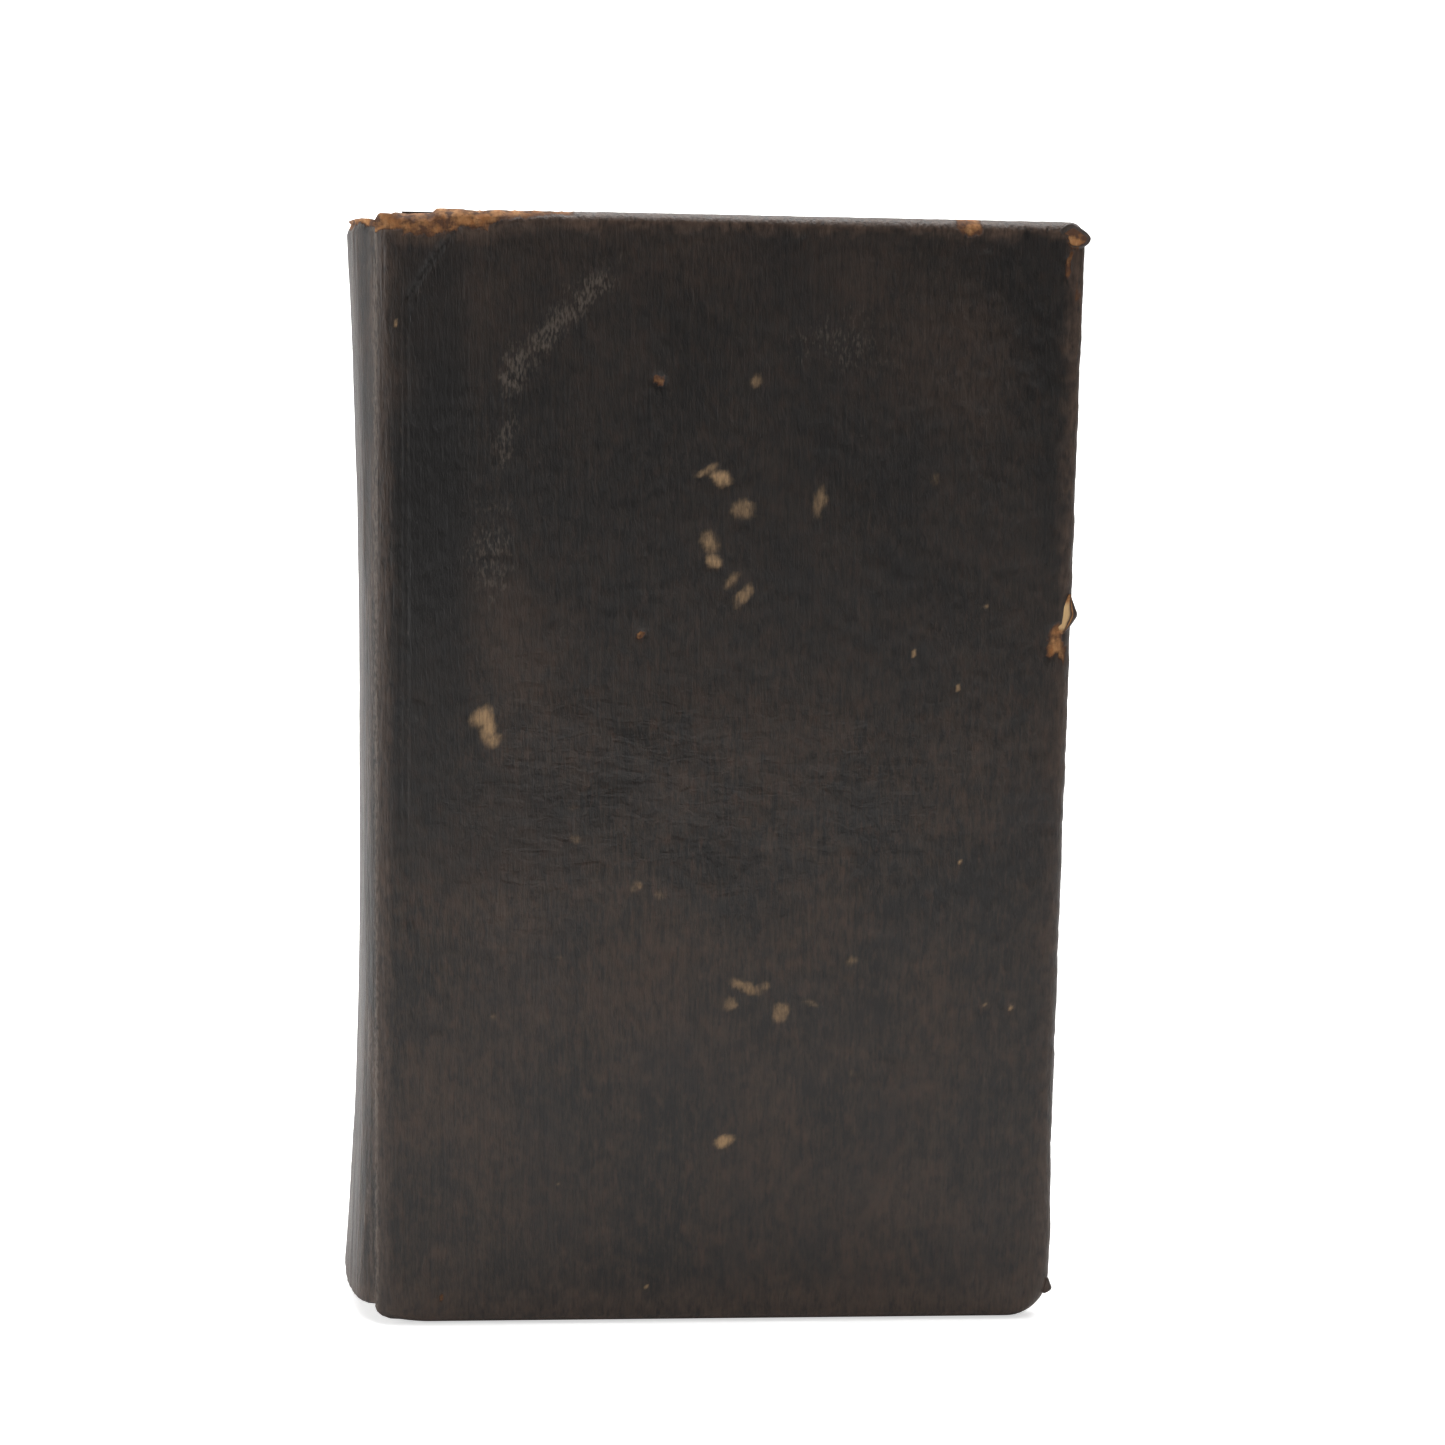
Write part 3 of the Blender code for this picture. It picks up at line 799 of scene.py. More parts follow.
def rubbed_leather(p):
    """Brown along the edges, most of all at the head, and faintly in clouds."""
    to_edge = most(p.across - COVER_WIDTH, -p.up, p.up - COVER_HEIGHT)
    return most((0.55 + 0.45 * smooth(p.up, 60, 170)) * smooth(3.8 + to_edge + 1.2 * p.ragged, 0, 3.2),
                0.45 * smooth(9.0 - p.up + 2.2 * p.ragged, 0, 6),
                0.8 * smooth(p.up - COVER_HEIGHT + p.band + 4, 0, 4) * (p.band > 0.3),
                0.45 * smooth(3.0 - p.across + 0.6 * p.ragged, 0, 1.4),
                0.25 * smooth(p.clouds, -0.1, 1.1))


def shade_and_darker_leather(p):
    """Painted shade darkening each cover towards its head, and darker leather in an upright band beside the
    joint and in a spot.
    """
    column = smooth(p.across, 2.5, 5.5) * smooth(17 - p.across, 0, 6) * smooth(p.up + 5 * p.ragged, 66, 90)
    # The rise towards the head is painted shade; the band beside the joint and the spot are only darker
    return most(0.57 * smooth(p.up + 4 * p.clouds, 75, 125) + 0.43 * column, p.spot(DARK_SPOT, 0, 0.6))


def tooled_lines(p):
    """The blind-tooled double line beside the joint, worn away below."""
    stretch = smooth(p.up, 76, 84) * smooth(166 - p.up, 0, 5)
    return sum(np.exp(-((p.across - line) / 0.26) ** 2) * stretch for line in TOOLED_LINES)


def crease_line(p, across_by, up_by):
    """A crease at the head of the front joint, or a line moved beside it."""
    if not p.front:
        return np.zeros(len(p.up))
    pairs = zip(CREASE_LINE, CREASE_LINE[1:])
    return most(*[near_line(p.across + across_by, p.up + up_by, a, b, 0.5) for a, b in pairs])


def scuffed_leather(p, tooled):
    # Light strokes and scuffs, plus a painted highlight on the tooled lines and over the first 0.9 mm beside
    # the joint crease
    return most(0.25 * smooth(p.noise((14, 14, 22), 21), 0.1, 1.0), 0.5 * tooled,
                0.5 * crease_line(p, -0.9, 0.5), smooth(0.9 - p.across, 0, 0.8),
                *[p.spot(spot, -0.3, 0.9, rough=0.3) for spot in SCUFFS])


def surface_rise(p, tooled, worn):
    """Lumps of the board, straight grain, wrinkles, tooled lines and missing leather, in mm."""
    grain = 0.03 * (1 + 1.6 * p.plain_spot(COARSE_GRAIN_SPOT, 0, 0.5))
    rise = 0.10 * p.noise((24, 24, 30), 31)
    rise += 0.045 * p.noise((1.7, 1.7, 16), 37, 2) + grain * p.noise((1.1, 1.1, 9), 41, 2)
    rise += 0.16 * worn["wrinkled"] * p.noise((9, 9, 2.6), 47)
    rise -= 0.28 * smooth(worn["raw"], 0.4, 0.7) + 0.10 * smooth(worn["pale"], 0.4, 0.7)
    return rise - 0.16 * tooled - 0.25 * worn["crack"]


def wear_cover(label, points, face_count, seed):
    """Moves a cover skin's points into its worn shape, and works out its painted numbers.

    points are (x, distance from the middle of the book, z), those of its outer face first.
    """
    p = CoverPlaces(label, points, seed)
    tooled = tooled_lines(p)
    worn = {"raw": raw_leather(p), "pale": pale_spots(p), "rubbed": rubbed_leather(p),
            "scuffed": scuffed_leather(p, tooled), "crack": crease_line(p, 0, 0), "shade_and_dark": shade_and_darker_leather(p),
            "wrinkled": p.plain_spot(WRINKLED_SPOT, 0, 0.9, rough=0.3)}
    rise = smooth(p.across, 0.0, 2.0) * surface_rise(p, tooled, worn)
    points[:face_count, 1] += rise[:face_count] * MM

    lost = 0.75 * smooth(8.9 - p.across, 0, 0.5) if p.front else 0.3
    lost = lost + np.abs(p.ragged) * (0.30 * smooth(36 - p.across, 0, 10) + 0.06)
    points[:, 2] -= smooth(p.up, COVER_HEIGHT - 4.5, COVER_HEIGHT - 0.8) * lost * MM
    spread_tail = 0.4 * smooth(p.up, 4, 9) * smooth(34 - p.up, 0, 22)
    fore_edge = smooth(p.across, COVER_WIDTH - 4, COVER_WIDTH)
    points[:, 0] += fore_edge * (spread_tail + 0.12 * p.ragged) * MM
    return worn


def make_turn_in(label, side, material):
    """The leather turned in round a board's three free edges."""
    start = BOARD_START - 0.1 * MM
    insets = [0.5 * MM, 2 * MM, 4 * MM, 8 * MM, TURN_IN_WIDTH]
    lines = [turned_in_line(start, inset) for inset in insets]
    rings = []
    for places in zip(*lines):
        under = [(x, side * TURN_IN_FACE, z) for x, z in places]
        over = [(x, side * (TURN_IN_FACE + SKIN), z) for x, z in places]
        rings.append(under + over[::-1])
    turn_in = loft(f"{label}_cover_turn_in", rings, material)
    paint_leather(turn_in, rubbed=0.3)
    shade(turn_in, 40)
    attach(turn_in, f"{label}_cover", "cover_leather")


def turned_in_line(start, inset):
    """(x, z) points round a cover at an inset from its edge: along the tail, up and back."""
    right, top = FORE_EDGE - inset, HEIGHT - inset
    tail = max(CORNER_RADII[1, -1] - inset, 0.3 * MM)
    head = max(CORNER_RADII[1, 1] - inset, 0.3 * MM)
    line = [(x, inset) for x in np.linspace(start, right - tail, 30)[:-1]]
    line += arc((right - tail, inset + tail), tail, -90, 0, 8)
    line += [(right, z) for z in np.linspace(inset + tail, top - head, 44)[1:-1]]
    line += arc((right - head, top - head), head, 0, 90, 8)
    line += [(x, top) for x in np.linspace(right - head, start, 30)[1:]]
    return line


def arc(centre, radius, start, end, steps):
    """Points along a circular arc between two angles in degrees."""
    angles = np.radians(np.linspace(start, end, steps + 1))
    return [(centre[0] + radius * math.cos(a), centre[1] + radius * math.sin(a)) for a in angles]


# --- torn scraps of leather

def smooth_path(corners, count):
    """Points along a Catmull-Rom curve through rows of numbers."""
    rows = np.array(corners, float)
    rows = np.vstack([2 * rows[0] - rows[1], rows, 2 * rows[-1] - rows[-2]])
    at = np.linspace(0, len(corners) - 1, count)
    k = np.minimum(at.astype(int), len(corners) - 2)
    t = (at - k)[:, None]
    a, b, c, d = rows[k], rows[k + 1], rows[k + 2], rows[k + 3]
    return 0.5 * (2 * b + (c - a) * t + (2 * a - 5 * b + 4 * c - d) * t ** 2
                  + (3 * b - a - 3 * c + d) * t ** 3)


def finish_scrap(scrap, **numbers):
    """Paints a scrap of the front cover's leather and fixes it there."""
    paint_leather(scrap, rubbed=0.5, scuffed=0.2, **numbers)
    shade(scrap, 60)
    attach(scrap, "front_cover", "cover_leather")


# The rolled lip at the head corner.  Its outline holds (across, up) places in mm.  Each row of its
# section holds a share of the way from the middle to the outline, a distance in mm from the
# middle of the book, and how bare the leather is.
CURL_MIDDLE = (107.0, 173.2)
CURL_OUTLINE = [(104.3, 174.7), (105.2, 175.3), (106.1, 175.7), (107.0, 175.3), (107.9, 174.8),
                (108.7, 174.2), (109.2, 173.5), (109.0, 172.8), (108.3, 172.2), (107.2, 171.8),
                (105.9, 172.1), (104.9, 173.2)]
CURL_BACK = [(0.02, 21.6, 0), (0.92, 21.6, 0), (1.0, 22.0, 0), (1.03, 22.6, 0)]
CURL_FRONT = [(1.0, 23.2, 0), (0.92, 23.5, 0), (0.82, 23.5, 0), (0.74, 23.42, 0.2), (0.66, 23.34, 0.6),
              (0.52, 23.3, 0.9), (0.34, 23.3, 1), (0.02, 23.3, 1)]
CURL_BASE = 22.9
CURL_RISES_TO = (0.6, 0.8)


def make_corner_curl(material):
    """Leather that has split at the head corner of the fore-edge: its top and tip are rolled up."""
    outline = smooth_path(CURL_OUTLINE + CURL_OUTLINE[:1], 72)[:-1] - CURL_MIDDLE
    toward = (outline / np.linalg.norm(outline, axis=1, keepdims=True)) @ np.array(CURL_RISES_TO)
    rings, raw = [], []
    for share, out, bare in CURL_BACK + CURL_FRONT:
        places = share * outline + CURL_MIDDLE
        lift = 1.0 if out < CURL_BASE else np.clip(0.45 + 0.75 * share * toward, -1.2, 1)
        lumps = fractal(np.column_stack([places, np.full(len(places), out)]), (1.4, 1.4, 1.4), 31, 2)
        depth = CURL_BASE + (out - CURL_BASE) * lift + 0.10 * share * lumps
        rings.append(np.column_stack([CREASE + places[:, 0] * MM, -depth * MM, places[:, 1] * MM]))
        raw.append(np.full(len(places), float(bare)))
    curl = loft("front_corner_curl", rings, material)
    finish_scrap(curl, raw=np.concatenate(raw))


# Tongues torn from the fore-edge: (up, start across, end across) in mm
EDGE_TONGUE = [(118.6, 107.95, 108.25), (117.6, 107.45, 108.6), (116.6, 106.8, 109.0), (115.4, 106.5, 109.4),
               (114.5, 106.4, 109.0), (113.6, 106.4, 108.4), (112.9, 106.6, 107.8), (112.3, 106.9, 107.2)]
TAIL_NIB = [(6.6, 108.3, 108.9), (5.8, 108.1, 109.2), (5.0, 107.8, 109.5), (4.5, 107.7, 109.3),
            (4.1, 107.9, 108.4)]


def make_tongue(name, outline, out, bare, material):
    """A thin pointed scrap that lies along the fore-edge, its far rim rolled and dark."""
    path = smooth_path(outline, 44)
    rings, pale, raw = [], [], []
    for row, (up, start, end) in enumerate(path):
        fresh = smooth(math.sin(math.pi * row / len(path)), 0.4, 0.8)
        ring = []
        for side in (1, -1):
            for t in np.linspace(0, 1, 12)[::side]:
                across = start + (end - start) * t
                thick = 0.10 + 0.26 * math.exp(-((t - 0.86) / 0.16) ** 2)
                thick *= math.sqrt(max(0.02, 1 - (2 * t - 1) ** 4))
                depth = out + 0.25 * math.sin(math.pi * t) + side * thick
                ring.append((CREASE + across * MM, -depth * MM, up * MM))
                inner = 1 - min(1, max(0, (t - 0.50) / 0.10))
                pale.append(bare * inner * fresh)
                raw.append(bare * max(inner, 1 - abs(t - 0.72) / 0.12))
        rings.append(ring)
    tongue = loft(name, rings, material)
    finish_scrap(tongue, raw=np.array(raw), pale=np.array(pale))


# --- spine

SPINE_OUTER_POINTS = 96
SPINE_INNER_POINTS = 32
SPINE_BEND = 6.5 * MM


def bulge(z):
    """How far the spine stands out behind its shoulders: most at head and tail."""
    to_head = np.clip(1 - (SPINE_HEAD - z) / FLARE, 0, 1)
    to_tail = np.clip(1 - (z - SPINE_TAIL) / FLARE, 0, 1)
    return (BULGE_WAIST + (BULGE_HEAD - BULGE_WAIST) * to_head ** 2
            + (BULGE_TAIL - BULGE_WAIST) * to_tail ** 2)


def spine_section(z, depth, count):
    """(x, y) points across the spine from crease to crease, at a depth under its outer face."""
    turn = np.linspace(0, math.pi, 400)
    x = CREASE - (SHOULDER + bulge(z) - depth) * np.sin(turn)
    y = -(CREASE_Y - depth) * np.cos(turn)
    return evenly(np.stack([x, y], axis=1), count)


def spine_levels():
    """The height of each ring of the spine, with how far its rounded end draws it in."""
    half = LEATHER / 2
    turns = [math.pi / 2 * step / 4 for step in range(4)]
    low = [(SPINE_TAIL + half * (1 - math.cos(turn)), half * (1 - math.sin(turn))) for turn in turns]
    middle = [(z, 0.0) for z in spread(SPINE_TAIL + half, SPINE_HEAD - half, FACE_STEP)]
    return low + middle + [(SPINE_TAIL + SPINE_HEAD - z, draw) for z, draw in low[::-1]]


def wear_spine(points, outside):
    """Moves the spine skin's points into their worn shape, and works out its painted numbers."""
    spot_at = points / MM
    from_tail = spot_at[:, 2] - SPINE_TAIL / MM
    from_head = spot_at[:, 2] - SPINE_HEAD / MM
    from_crease = (CREASE - points[:, 0]) / MM
    ragged = fractal(spot_at, (2.0, 2.0, 2.0), 71)
    creases = 1 - np.abs(fractal(spot_at, (2.2, 2.6, 34), 73, 3))

    rise = 0.22 * (creases - 0.6) + 0.07 * fractal(spot_at, (9, 9, 20), 79)
    rolled = 0.8 * smooth(from_head, -3.2, -0.2) ** 2
    dip = 0.3 * smooth(from_crease, 0, 0.6) * smooth(2.2 - from_crease, 0, 1)
    rise = outside * (smooth(from_crease, 0.15, 1.5) * (rise - rolled) - dip)
    away = (points[:, :2] - (CREASE, 0)) * (6, 1)
    away /= np.linalg.norm(away, axis=1, keepdims=True)
    points[:, :2] += away * rise[:, None] * MM
    lost = 0.45 + 0.5 * np.abs(fractal(spot_at, (3.0, 3.0, 3.0), 83))
    points[:, 2] -= smooth(from_head, -4, -0.3) * lost * MM
    points[:, 2] += smooth(5 - from_tail, 1, 5) * 0.25 * np.abs(ragged) * MM
    return {"raw": smooth(from_head + 1.9 + 0.9 * ragged, 0, 0.9),
            "rubbed": most(0.6 * smooth(5.5 - from_tail + ragged, 0, 4), 0.45 * smooth(creases, 0.65, 1.0)),
            # The grey at the spine's joint crease is a painted highlight; on the crests of its creases it is
            # scuffing
            "scuffed": most(0.3 + 0.4 * smooth(creases, 0.7, 1.0), smooth(0.7 - from_crease, 0, 0.5)),
            "crack": 0.5 * smooth(0.35 - creases, 0, 0.3)}


def make_spine_skin(material):
    """The leather over the spine, in one piece from joint to joint, worn away at its head."""
    rings = []
    for z, draw in spine_levels():
        outer = spine_section(z, draw, SPINE_OUTER_POINTS)
        inner = spine_section(z, LEATHER - draw, SPINE_INNER_POINTS)[::-1]
        rings.append(lifted(np.concatenate([outer, inner]), z))
    skin = loft("spine_skin", rings, material)
    points = np.concatenate(rings)
    outside = np.arange(len(points)) % len(rings[0]) < SPINE_OUTER_POINTS
    worn = wear_spine(points, outside)
    set_points(skin, points)
    paint_leather(skin, **worn)
    shade(skin, 50)
    start, end = (SPINE_LINE, -SPINE_BEND, 0), (SPINE_LINE, SPINE_BEND, 0)
    attach_between(skin, ("front_block", "back_block"), start, end, "cover_leather",
                   "front_spine_leather", "back_spine_leather")


# --- sheets of paper

def sheet_piece(name, columns, rows, near, far, material):
    """A closed sheet over a grid of x and z, between two functions that give its faces' y."""
    x, z = np.meshgrid(columns, rows)
    count = x.size
    faces_at = [np.stack([x, f(x, z), z], axis=-1).reshape(-1, 3) for f in (near, far)]
    front = np.arange(count).reshape(x.shape)
    back = front + count
    faces = grid_faces(front) + [face[::-1] for face in grid_faces(back)]
    faces += ring_faces([list(grid_loop(back)), list(grid_loop(front))])
    piece = make_mesh_object(name, np.concatenate(faces_at), faces, material)
    shade(piece, 40)
    return piece


def paint_edge(piece, low, high, width):
    """Paints how near each point is to the edges of a leaf whose (x, z) corners are low and high."""
    points = points_of(piece)
    gap = np.minimum.reduce([points[:, 0] - low[0], high[0] - points[:, 0],
                             points[:, 2] - low[1], high[1] - points[:, 2]])
    ragged = fractal(points / MM, (12, 12, 12), 91)
    paint(piece, "edge", smooth(width - gap + 0.4 * width * ragged, 0, width))


def make_pastedown(label, side, material):
    """The pasted endpaper: it shows the edge of the turned-in leather under it as a ridge."""
    margin = 3.6 * MM
    left, right = BOARD_START - 0.2 * MM, FORE_EDGE - margin
    low, high = margin, HEIGHT - margin
    over_turn_in = TURN_IN_FACE - 0.14 * MM
    in_window = TURN_IN_FACE + 0.28 * MM
    paper = 0.11 * MM

    def face(x, z):
        to_edge = np.minimum(FORE_EDGE - x, np.minimum(z, HEIGHT - z))
        sunk = smooth(to_edge, TURN_IN_WIDTH - 0.2 * MM, TURN_IN_WIDTH + 1.2 * MM)
        return side * (over_turn_in + (in_window - over_turn_in) * sunk)

    def back(x, z):
        return face(x, z) + side * paper

    columns, rows = spread(left, right, 1.2 * MM), spread(low, high, 1.4 * MM)
    sheet = sheet_piece(f"{label}_pastedown_paper", columns, rows, face, back, material)
    paint_edge(sheet, (left - 20 * MM, low), (right, high), 9 * MM)
    attach(sheet, f"{label}_cover", "endpaper", f"{label}_pastedown")


def make_leaf(name, left, right, middle, thickness, wave, material, seed):
    """A single leaf, slightly cockled, with edges that aren't quite straight."""
    def offset(x, z):
        at = np.stack([x.ravel(), z.ravel(), 0 * x.ravel()], axis=1) / MM
        free = smooth(x, left, left + 30 * MM)
        return free * wave * fractal(at, (38, 26, 10), seed, 2).reshape(x.shape)

    columns = spread(left, right, 2 * MM)
    rows = spread(LEAVES_LOW, LEAVES_HIGH, 2 * MM)
    leaf = sheet_piece(name, columns, rows, lambda x, z: middle - thickness / 2 + offset(x, z),
                       lambda x, z: middle + thickness / 2 + offset(x, z), material)
    points = points_of(leaf)
    at = np.stack([points[:, 0], points[:, 2], 0 * points[:, 0]], axis=1) / MM
    uneven = 0.18 * MM * fractal(at, (7, 7, 7), seed + 3)
    points[:, 0] += uneven * smooth(points[:, 0], right - 3 * MM, right)
    points[:, 2] += uneven * (smooth(points[:, 2], LEAVES_HIGH - 3 * MM, LEAVES_HIGH)
                              - smooth(-points[:, 2], -LEAVES_LOW - 3 * MM, -LEAVES_LOW))
    set_points(leaf, points)
    paint_edge(leaf, (left - 20 * MM, LEAVES_LOW), (right, LEAVES_HIGH), 8 * MM)
    return leaf


def make_flyleaf(label, side, material):
    leaf = make_leaf(f"{label}_endleaf", FLYLEAF_START, LEAVES_END, side * FLYLEAF_Y, 0.13 * MM,
                     0.045 * MM, material, 101 + side)
    attach(leaf, f"{label}_flyleaf", "endpaper", f"{label}_flyleaf")


def make_middle_leaf(material):
    left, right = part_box("middle_leaf")[0].x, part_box("middle_leaf")[1].x
    leaf = make_leaf("loose_middle_leaf", left, right, 0.0, 0.13 * MM, 0.04 * MM, material, 111)
    attach(leaf, "middle_leaf", "text_paper", "middle_leaf")


# --- gatherings

FOLDED_SHEETS = 4
LEAF_LEVELS = 24
GATHERINGS = 10
LEAF_SWELL = 0.11 * MM
MIDDLE_SWELL = 0.27 * MM


def folded_line(start, end, middle, half, arm_points=10, fold_points=9):
    """(x, y) points of one folded sheet: in along an arm, round the fold and out again."""
    turn = np.radians(np.linspace(-90, -270, fold_points))
    arm = np.linspace(end, start + half, arm_points)
    x = np.concatenate([arm[:-1], start + half + half * np.cos(turn), arm[-2::-1]])
    y = middle + half * np.concatenate([-np.ones(arm_points - 1), np.sin(turn), np.ones(arm_points - 1)])
    return np.stack([x, y], axis=1)


def make_gathering(label, side, number, material):
    """Four sheets folded one inside the other, their edges never quite level."""
    node = f"{label}_gathering_{number:02d}"
    low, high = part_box(node)
    near, far = sorted((abs(low.y), abs(high.y)))
    near -= MIDDLE_SWELL if number == GATHERINGS else LEAF_SWELL
    far += LEAF_SWELL
    middle, half = side * (near + far) / 2, (far - near) / 2
    seed = 200 + number * 7 + (50 if side > 0 else 0)
    rng = np.random.default_rng(seed)
    sheet_step = half / FOLDED_SHEETS
    leaf = 0.90 * sheet_step
    rings, faces = [], []
    for inset in sheet_step * np.arange(FOLDED_SHEETS):
        end = high.x + rng.uniform(-0.25, 0.12) * MM
        bottom = LEAVES_LOW + rng.uniform(-0.05, 0.22) * MM
        top = LEAVES_HIGH + rng.uniform(-0.22, 0.05) * MM
        outer = folded_line(low.x + inset, end, middle, half - inset)
        inner = folded_line(low.x + inset + leaf, end, middle, half - inset - leaf)[::-1]
        sheet = [lifted(np.concatenate([outer, inner]), z) for z in np.linspace(bottom, top, LEAF_LEVELS)]
        numbers = numbered(sheet, len(rings) * len(sheet[0]))
        faces += ring_faces(numbers) + strip_caps(numbers[0], numbers[-1])
        rings += sheet
    points = np.concatenate(rings)
    at = points / MM
    free = smooth(points[:, 0], low.x, high.x)
    points[:, 1] += 0.05 * MM * free * fractal(at * (1, 0.05, 1), (40, 40, 45), 300, 2)
    cut_edge = smooth(points[:, 0], high.x - 2 * MM, high.x)
    points[:, 0] += 0.10 * MM * cut_edge * fractal(at, (0.4, 0.4, 9), seed)
    bundle = make_mesh_object(f"{label}_leaves_{number:02d}", points, faces, material)
    paint(bundle, "flat", [abs(face.normal.y) > 0.9 for face in bundle.data.polygons], "FACE")
    paint_edge(bundle, (low.x - 20 * MM, LEAVES_LOW), (high.x, LEAVES_HIGH), 7 * MM)
    shade(bundle, 35)
    attach(bundle, f"{label}_block", "text_paper", node)


def strip_caps(low_ring, high_ring):
    """Quads over the two ends of a loft whose ring runs out along a line and back beside it."""
    faces = []
    half = len(low_ring) // 2
    for i in range(half - 1):
        j = len(low_ring) - 1 - i
        faces.append((low_ring[i + 1], low_ring[i], low_ring[j], low_ring[j - 1]))
        faces.append((high_ring[i], high_ring[i + 1], high_ring[j - 1], high_ring[j]))
    return faces


# --- folds between the bodies

def ribbon(name, path, thickness, low, high, step, material):
    """A closed strip of paper with a path of (x, y) points as its section."""
    path = np.array(path)
    along = np.gradient(path, axis=0)
    along /= np.linalg.norm(along, axis=1, keepdims=True)
    beside = np.stack([-along[:, 1], along[:, 0]], axis=1) * thickness / 2
    section = np.concatenate([path + beside, (path - beside)[::-1]])
    rings = [lifted(section, z) for z in spread(low, high, step)]
    numbers = numbered(rings)
    faces = ring_faces(numbers) + strip_caps(numbers[0], numbers[-1])
    piece = make_mesh_object(name, np.concatenate(rings), faces, material)
    paint(piece, "edge", 0.35)
    shade(piece, 50)
    return piece


def rounded_path(corners, radius, step):
    """A path through corners, with each inner corner rounded off, in points a step apart."""
    corners = [np.array(c) for c in corners]
    points = [corners[0]]
    for before, corner, after in zip(corners, corners[1:], corners[2:]):
        a = corner + radius * (before - corner) / np.linalg.norm(before - corner)
        b = corner + radius * (after - corner) / np.linalg.norm(after - corner)
        points += [(1 - t) ** 2 * a + 2 * t * (1 - t) * corner + t * t * b for t in np.linspace(0, 1, 7)]
    points.append(corners[-1])
    points = np.array(points)
    return evenly(points, max(2, round(path_length(points)[-1] / step)) + 1)


def make_joint_paper(label, side, material):
    """The strip of endpaper that runs from the pastedown across the joint to the first leaf."""
    corners = [(3.75, 18.50), (3.45, 20.75), (0.45, 20.75), (0.75, 18.10)]
    path = rounded_path([(CREASE + u * MM, side * y * MM) for u, y in corners], 0.6 * MM, 0.22 * MM)
    strip = ribbon(f"{label}_joint_paper", path, 0.14 * MM, 3.6 * MM, HEIGHT - 3.6 * MM, 4 * MM, material)
    block = f"{label}_block"
    cover = f"{label}_cover"
    attach_between(strip, (cover, block), (CREASE + 3.3 * MM, 0, 0), (CREASE + 0.6 * MM, 0, 0), "endpaper")


def make_gutter_paper(material):
    """The fold at the middle of the book."""
    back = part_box("middle_leaf")[0].x - 0.35 * MM
    half = 0.13 * MM
    path = folded_line(back, back + 7 * MM, 0, half, arm_points=8, fold_points=25)
    paper = ribbon("gutter_paper", path, 0.08 * MM, LEAVES_LOW + 0.1 * MM, LEAVES_HIGH - 0.1 * MM, 5 * MM,
                   material)
    attach_between(paper, ("front_block", "back_block"), (back, -half, 0), (back, half, 0), "text_paper")


TURN_PITCH = 1.1 * MM
TURNS_PER_COLOUR = 3


def make_endband(end, material):
    """A stitched band: silk wound round a core, three turns of one colour and three of the next."""
    low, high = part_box(f"back_{end}_endband")
    radius = (high.z - low.z) / 2
    height = (low.z + high.z) / 2
    reach = high.y - 0.1 * MM
    ys = np.linspace(-reach, reach, 260)
    xs = low.x + radius + (high.x - low.x - 2 * radius) * (ys / reach) ** 2
    sides = 20
    angles = np.linspace(0, 2 * math.pi, sides, endpoint=False)
    rings, stripes = [], []
    for x, y in zip(xs, ys):
        wound = (y + 0.25 * MM * np.sin(angles)) / TURN_PITCH
        swell = 0.86 + 0.14 * np.abs(np.sin(math.pi * wound)) ** 0.7
        closing = math.sqrt(max(0.05, 1 - max(0.0, (abs(y) - reach + radius) / radius) ** 2))
        rings.append([(x + radius * closing * s * math.cos(a), y, height + radius * closing * s * math.sin(a))
                      for a, s in zip(angles, swell)])
        stripes += list((np.floor(wound / TURNS_PER_COLOUR).astype(int) % 2).astype(float))
    band = loft(f"{end}_endband_silk", rings, material)
    paint(band, "stripe", np.array(stripes))
    shade(band, 60)
    attach_between(band, ("front_block", "back_block"), (SPINE_LINE, -6 * MM, 0), (SPINE_LINE, 6 * MM, 0),
                   "endband_silk", f"front_{end}_endband", f"back_{end}_endband")


# --- studio

CAMERA_PLACE = (-28.1 * MM, -423.7 * MM, 156.8 * MM)
CAMERA_YAW = 4.389
CAMERA_PITCH = 8.332
CAMERA_ROLL = 1.041
LENS = 64.8
ROOM_LIGHT = 0.15
FLOOR_LIGHT = 0.06


def make_camera():
    yaw, pitch, roll = (math.radians(a) for a in (CAMERA_YAW, CAMERA_PITCH, CAMERA_ROLL))
    forward = Vector((math.sin(yaw) * math.cos(pitch), math.cos(yaw) * math.cos(pitch), -math.sin(pitch)))
    right = Vector((math.cos(yaw), -math.sin(yaw), 0))
    up = right.cross(forward)
    right, up = (math.cos(roll) * right + math.sin(roll) * up, math.cos(roll) * up - math.sin(roll) * right)
    camera = bpy.data.objects.new("camera", bpy.data.cameras.new("camera"))
    turned = Matrix((right, up, -forward)).transposed().to_4x4()
    camera.matrix_world = Matrix.Translation(CAMERA_PLACE) @ turned
    camera.data.lens = LENS
    camera.data.sensor_width = 36
    camera.data.clip_start = 0.01
    bpy.context.scene.collection.objects.link(camera)
    bpy.context.scene.camera = camera


def white_to_camera(tree, light, seen):
    """A strength that the camera sees as one value, while the scene is lit by another."""
    strength = tree.nodes.new("ShaderNodeMapRange")
    strength.inputs["To Min"].default_value = light
    strength.inputs["To Max"].default_value = seen
    tree.links.new(tree.nodes.new("ShaderNodeLightPath").outputs["Is Camera Ray"], strength.inputs["Value"])
    return strength.outputs["Result"]


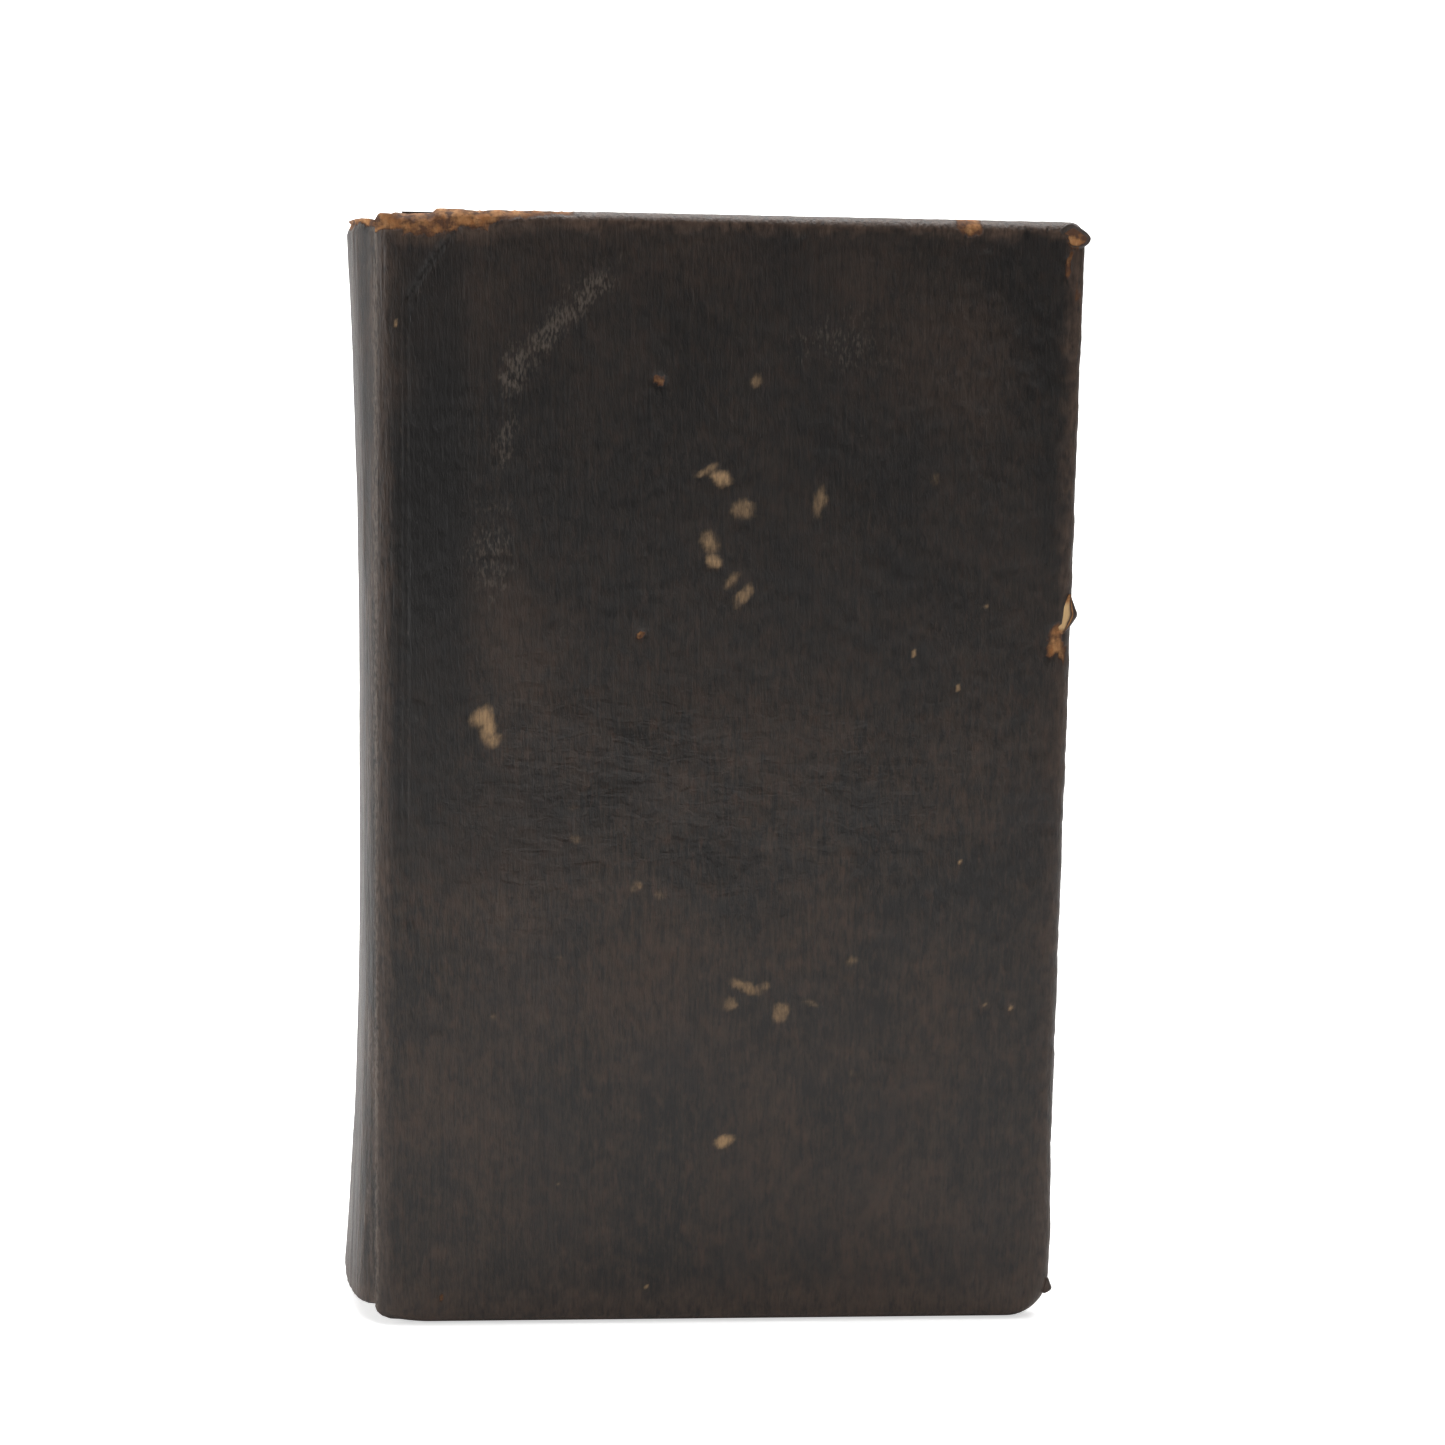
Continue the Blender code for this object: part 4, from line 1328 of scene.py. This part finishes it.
def make_floor():
    """A pale floor that curves up into a backdrop behind the book."""
    profile = [(-1.1, 0.0), (0.0, 0.0), (0.9, 0.0)]
    profile += [(0.9 + 0.5 * math.sin(a), 0.5 - 0.5 * math.cos(a)) for a in np.radians(range(10, 91, 10))]
    profile.append((1.4, 2.4))
    points = [(x, y, z - 0.0001) for x in (-1.3, 1.3) for y, z in profile]
    count = len(profile)
    faces = [(k, k + count, k + count + 1, k + 1) for k in range(count - 1)]
    g = Graph("studio_paper")
    tone = g.noise(3, 3, 3, detail=2.0)
    g.wire(white_to_camera(g.tree, FLOOR_LIGHT, 0.6), g.shader.inputs["Emission Strength"])
    material = g.finish(g.mix(tone, (0.86, 0.86, 0.86), (0.90, 0.90, 0.895)), 0.9, Specular_IOR_Level=0.2,
                        Emission_Color=(1, 1, 1, 1))
    floor = make_mesh_object("studio_floor", points, faces, material)
    floor.data.shade_smooth()


def make_softbox(name, place, aim, width, height, power):
    light = bpy.data.lights.new(name, "AREA")
    light.shape = "RECTANGLE"
    light.size, light.size_y = width, height
    light.energy = power
    lamp = bpy.data.objects.new(name, light)
    lamp.location = place
    lamp.rotation_euler = (Vector(aim) - Vector(place)).to_track_quat("-Z", "Y").to_euler()
    bpy.context.scene.collection.objects.link(lamp)


def make_studio():
    make_floor()
    make_softbox("overhead_softbox", (0.1, 0.15, 1.3), (0, 0.05, 0.05), 1.6, 1.2, 17)
    make_softbox("left_softbox", (-0.85, -0.12, 0.32), (-0.05, 0, 0.09), 0.9, 0.7, 5)
    make_softbox("backdrop_softbox", (0, 0.3, 1.5), (0, 1.4, 0.6), 2.0, 0.5, 24)
    world = bpy.data.worlds.new("studio")
    world.use_nodes = True
    background = world.node_tree.nodes["Background"]
    background.inputs["Color"].default_value = (1, 1, 1, 1)
    strength = white_to_camera(world.node_tree, ROOM_LIGHT, 1.0)
    world.node_tree.links.new(strength, background.inputs["Strength"])
    bpy.context.scene.world = world
    bpy.context.scene.view_settings.view_transform = "Standard"


# --- the whole book

def dress_cad_nodes():
    """Gives the CAD pieces that stay their own materials."""
    kept = {"board": board_material("pasteboard"),
            "spine_lining": board_material("spine_lining_paper"),
            "mull": weave_material("mull_weave", (0.52, 0.44, 0.31), (0.17, 0.12, 0.075), 1400)}
    cord = cord_material("twisted_cord")
    for name, node in frame["nodes"].items():
        for ending, material in kept.items():
            if name.endswith(ending):
                node.data.materials.clear()
                node.data.materials.append(material)
        if "sewing_cord" in name:
            node.data.materials.clear()
            node.data.materials.append(cord)


def main():
    leather = leather_material("straight_grain_leather")
    endpaper = paper_material("endpaper", (0.55, 0.42, 0.265), (0.42, 0.29, 0.165), 0.8)
    page = paper_material("page_paper", PAGE_PALE, PAGE_DARK, 0.6)
    leaves = leaves_material("leaf_edges")
    silk = endband_material("endband_silk")
    for label, side in SIDES.items():
        make_cover_skin(label, side, leather, 11 if side < 0 else 47)
        make_turn_in(label, side, leather)
        make_pastedown(label, side, endpaper)
        make_joint_paper(label, side, endpaper)
        make_flyleaf(label, side, endpaper)
        for number in range(1, GATHERINGS + 1):
            make_gathering(label, side, number, leaves)
    make_corner_curl(leather)
    make_tongue("front_edge_tongue", EDGE_TONGUE, 22.7, 1.0, leather)
    make_tongue("front_tail_nib", TAIL_NIB, 22.0, 0.0, leather)
    make_spine_skin(leather)
    make_middle_leaf(page)
    make_gutter_paper(page)
    for end in ("head", "tail"):
        make_endband(end, silk)
    dress_cad_nodes()
    make_camera()
    make_studio()


main()
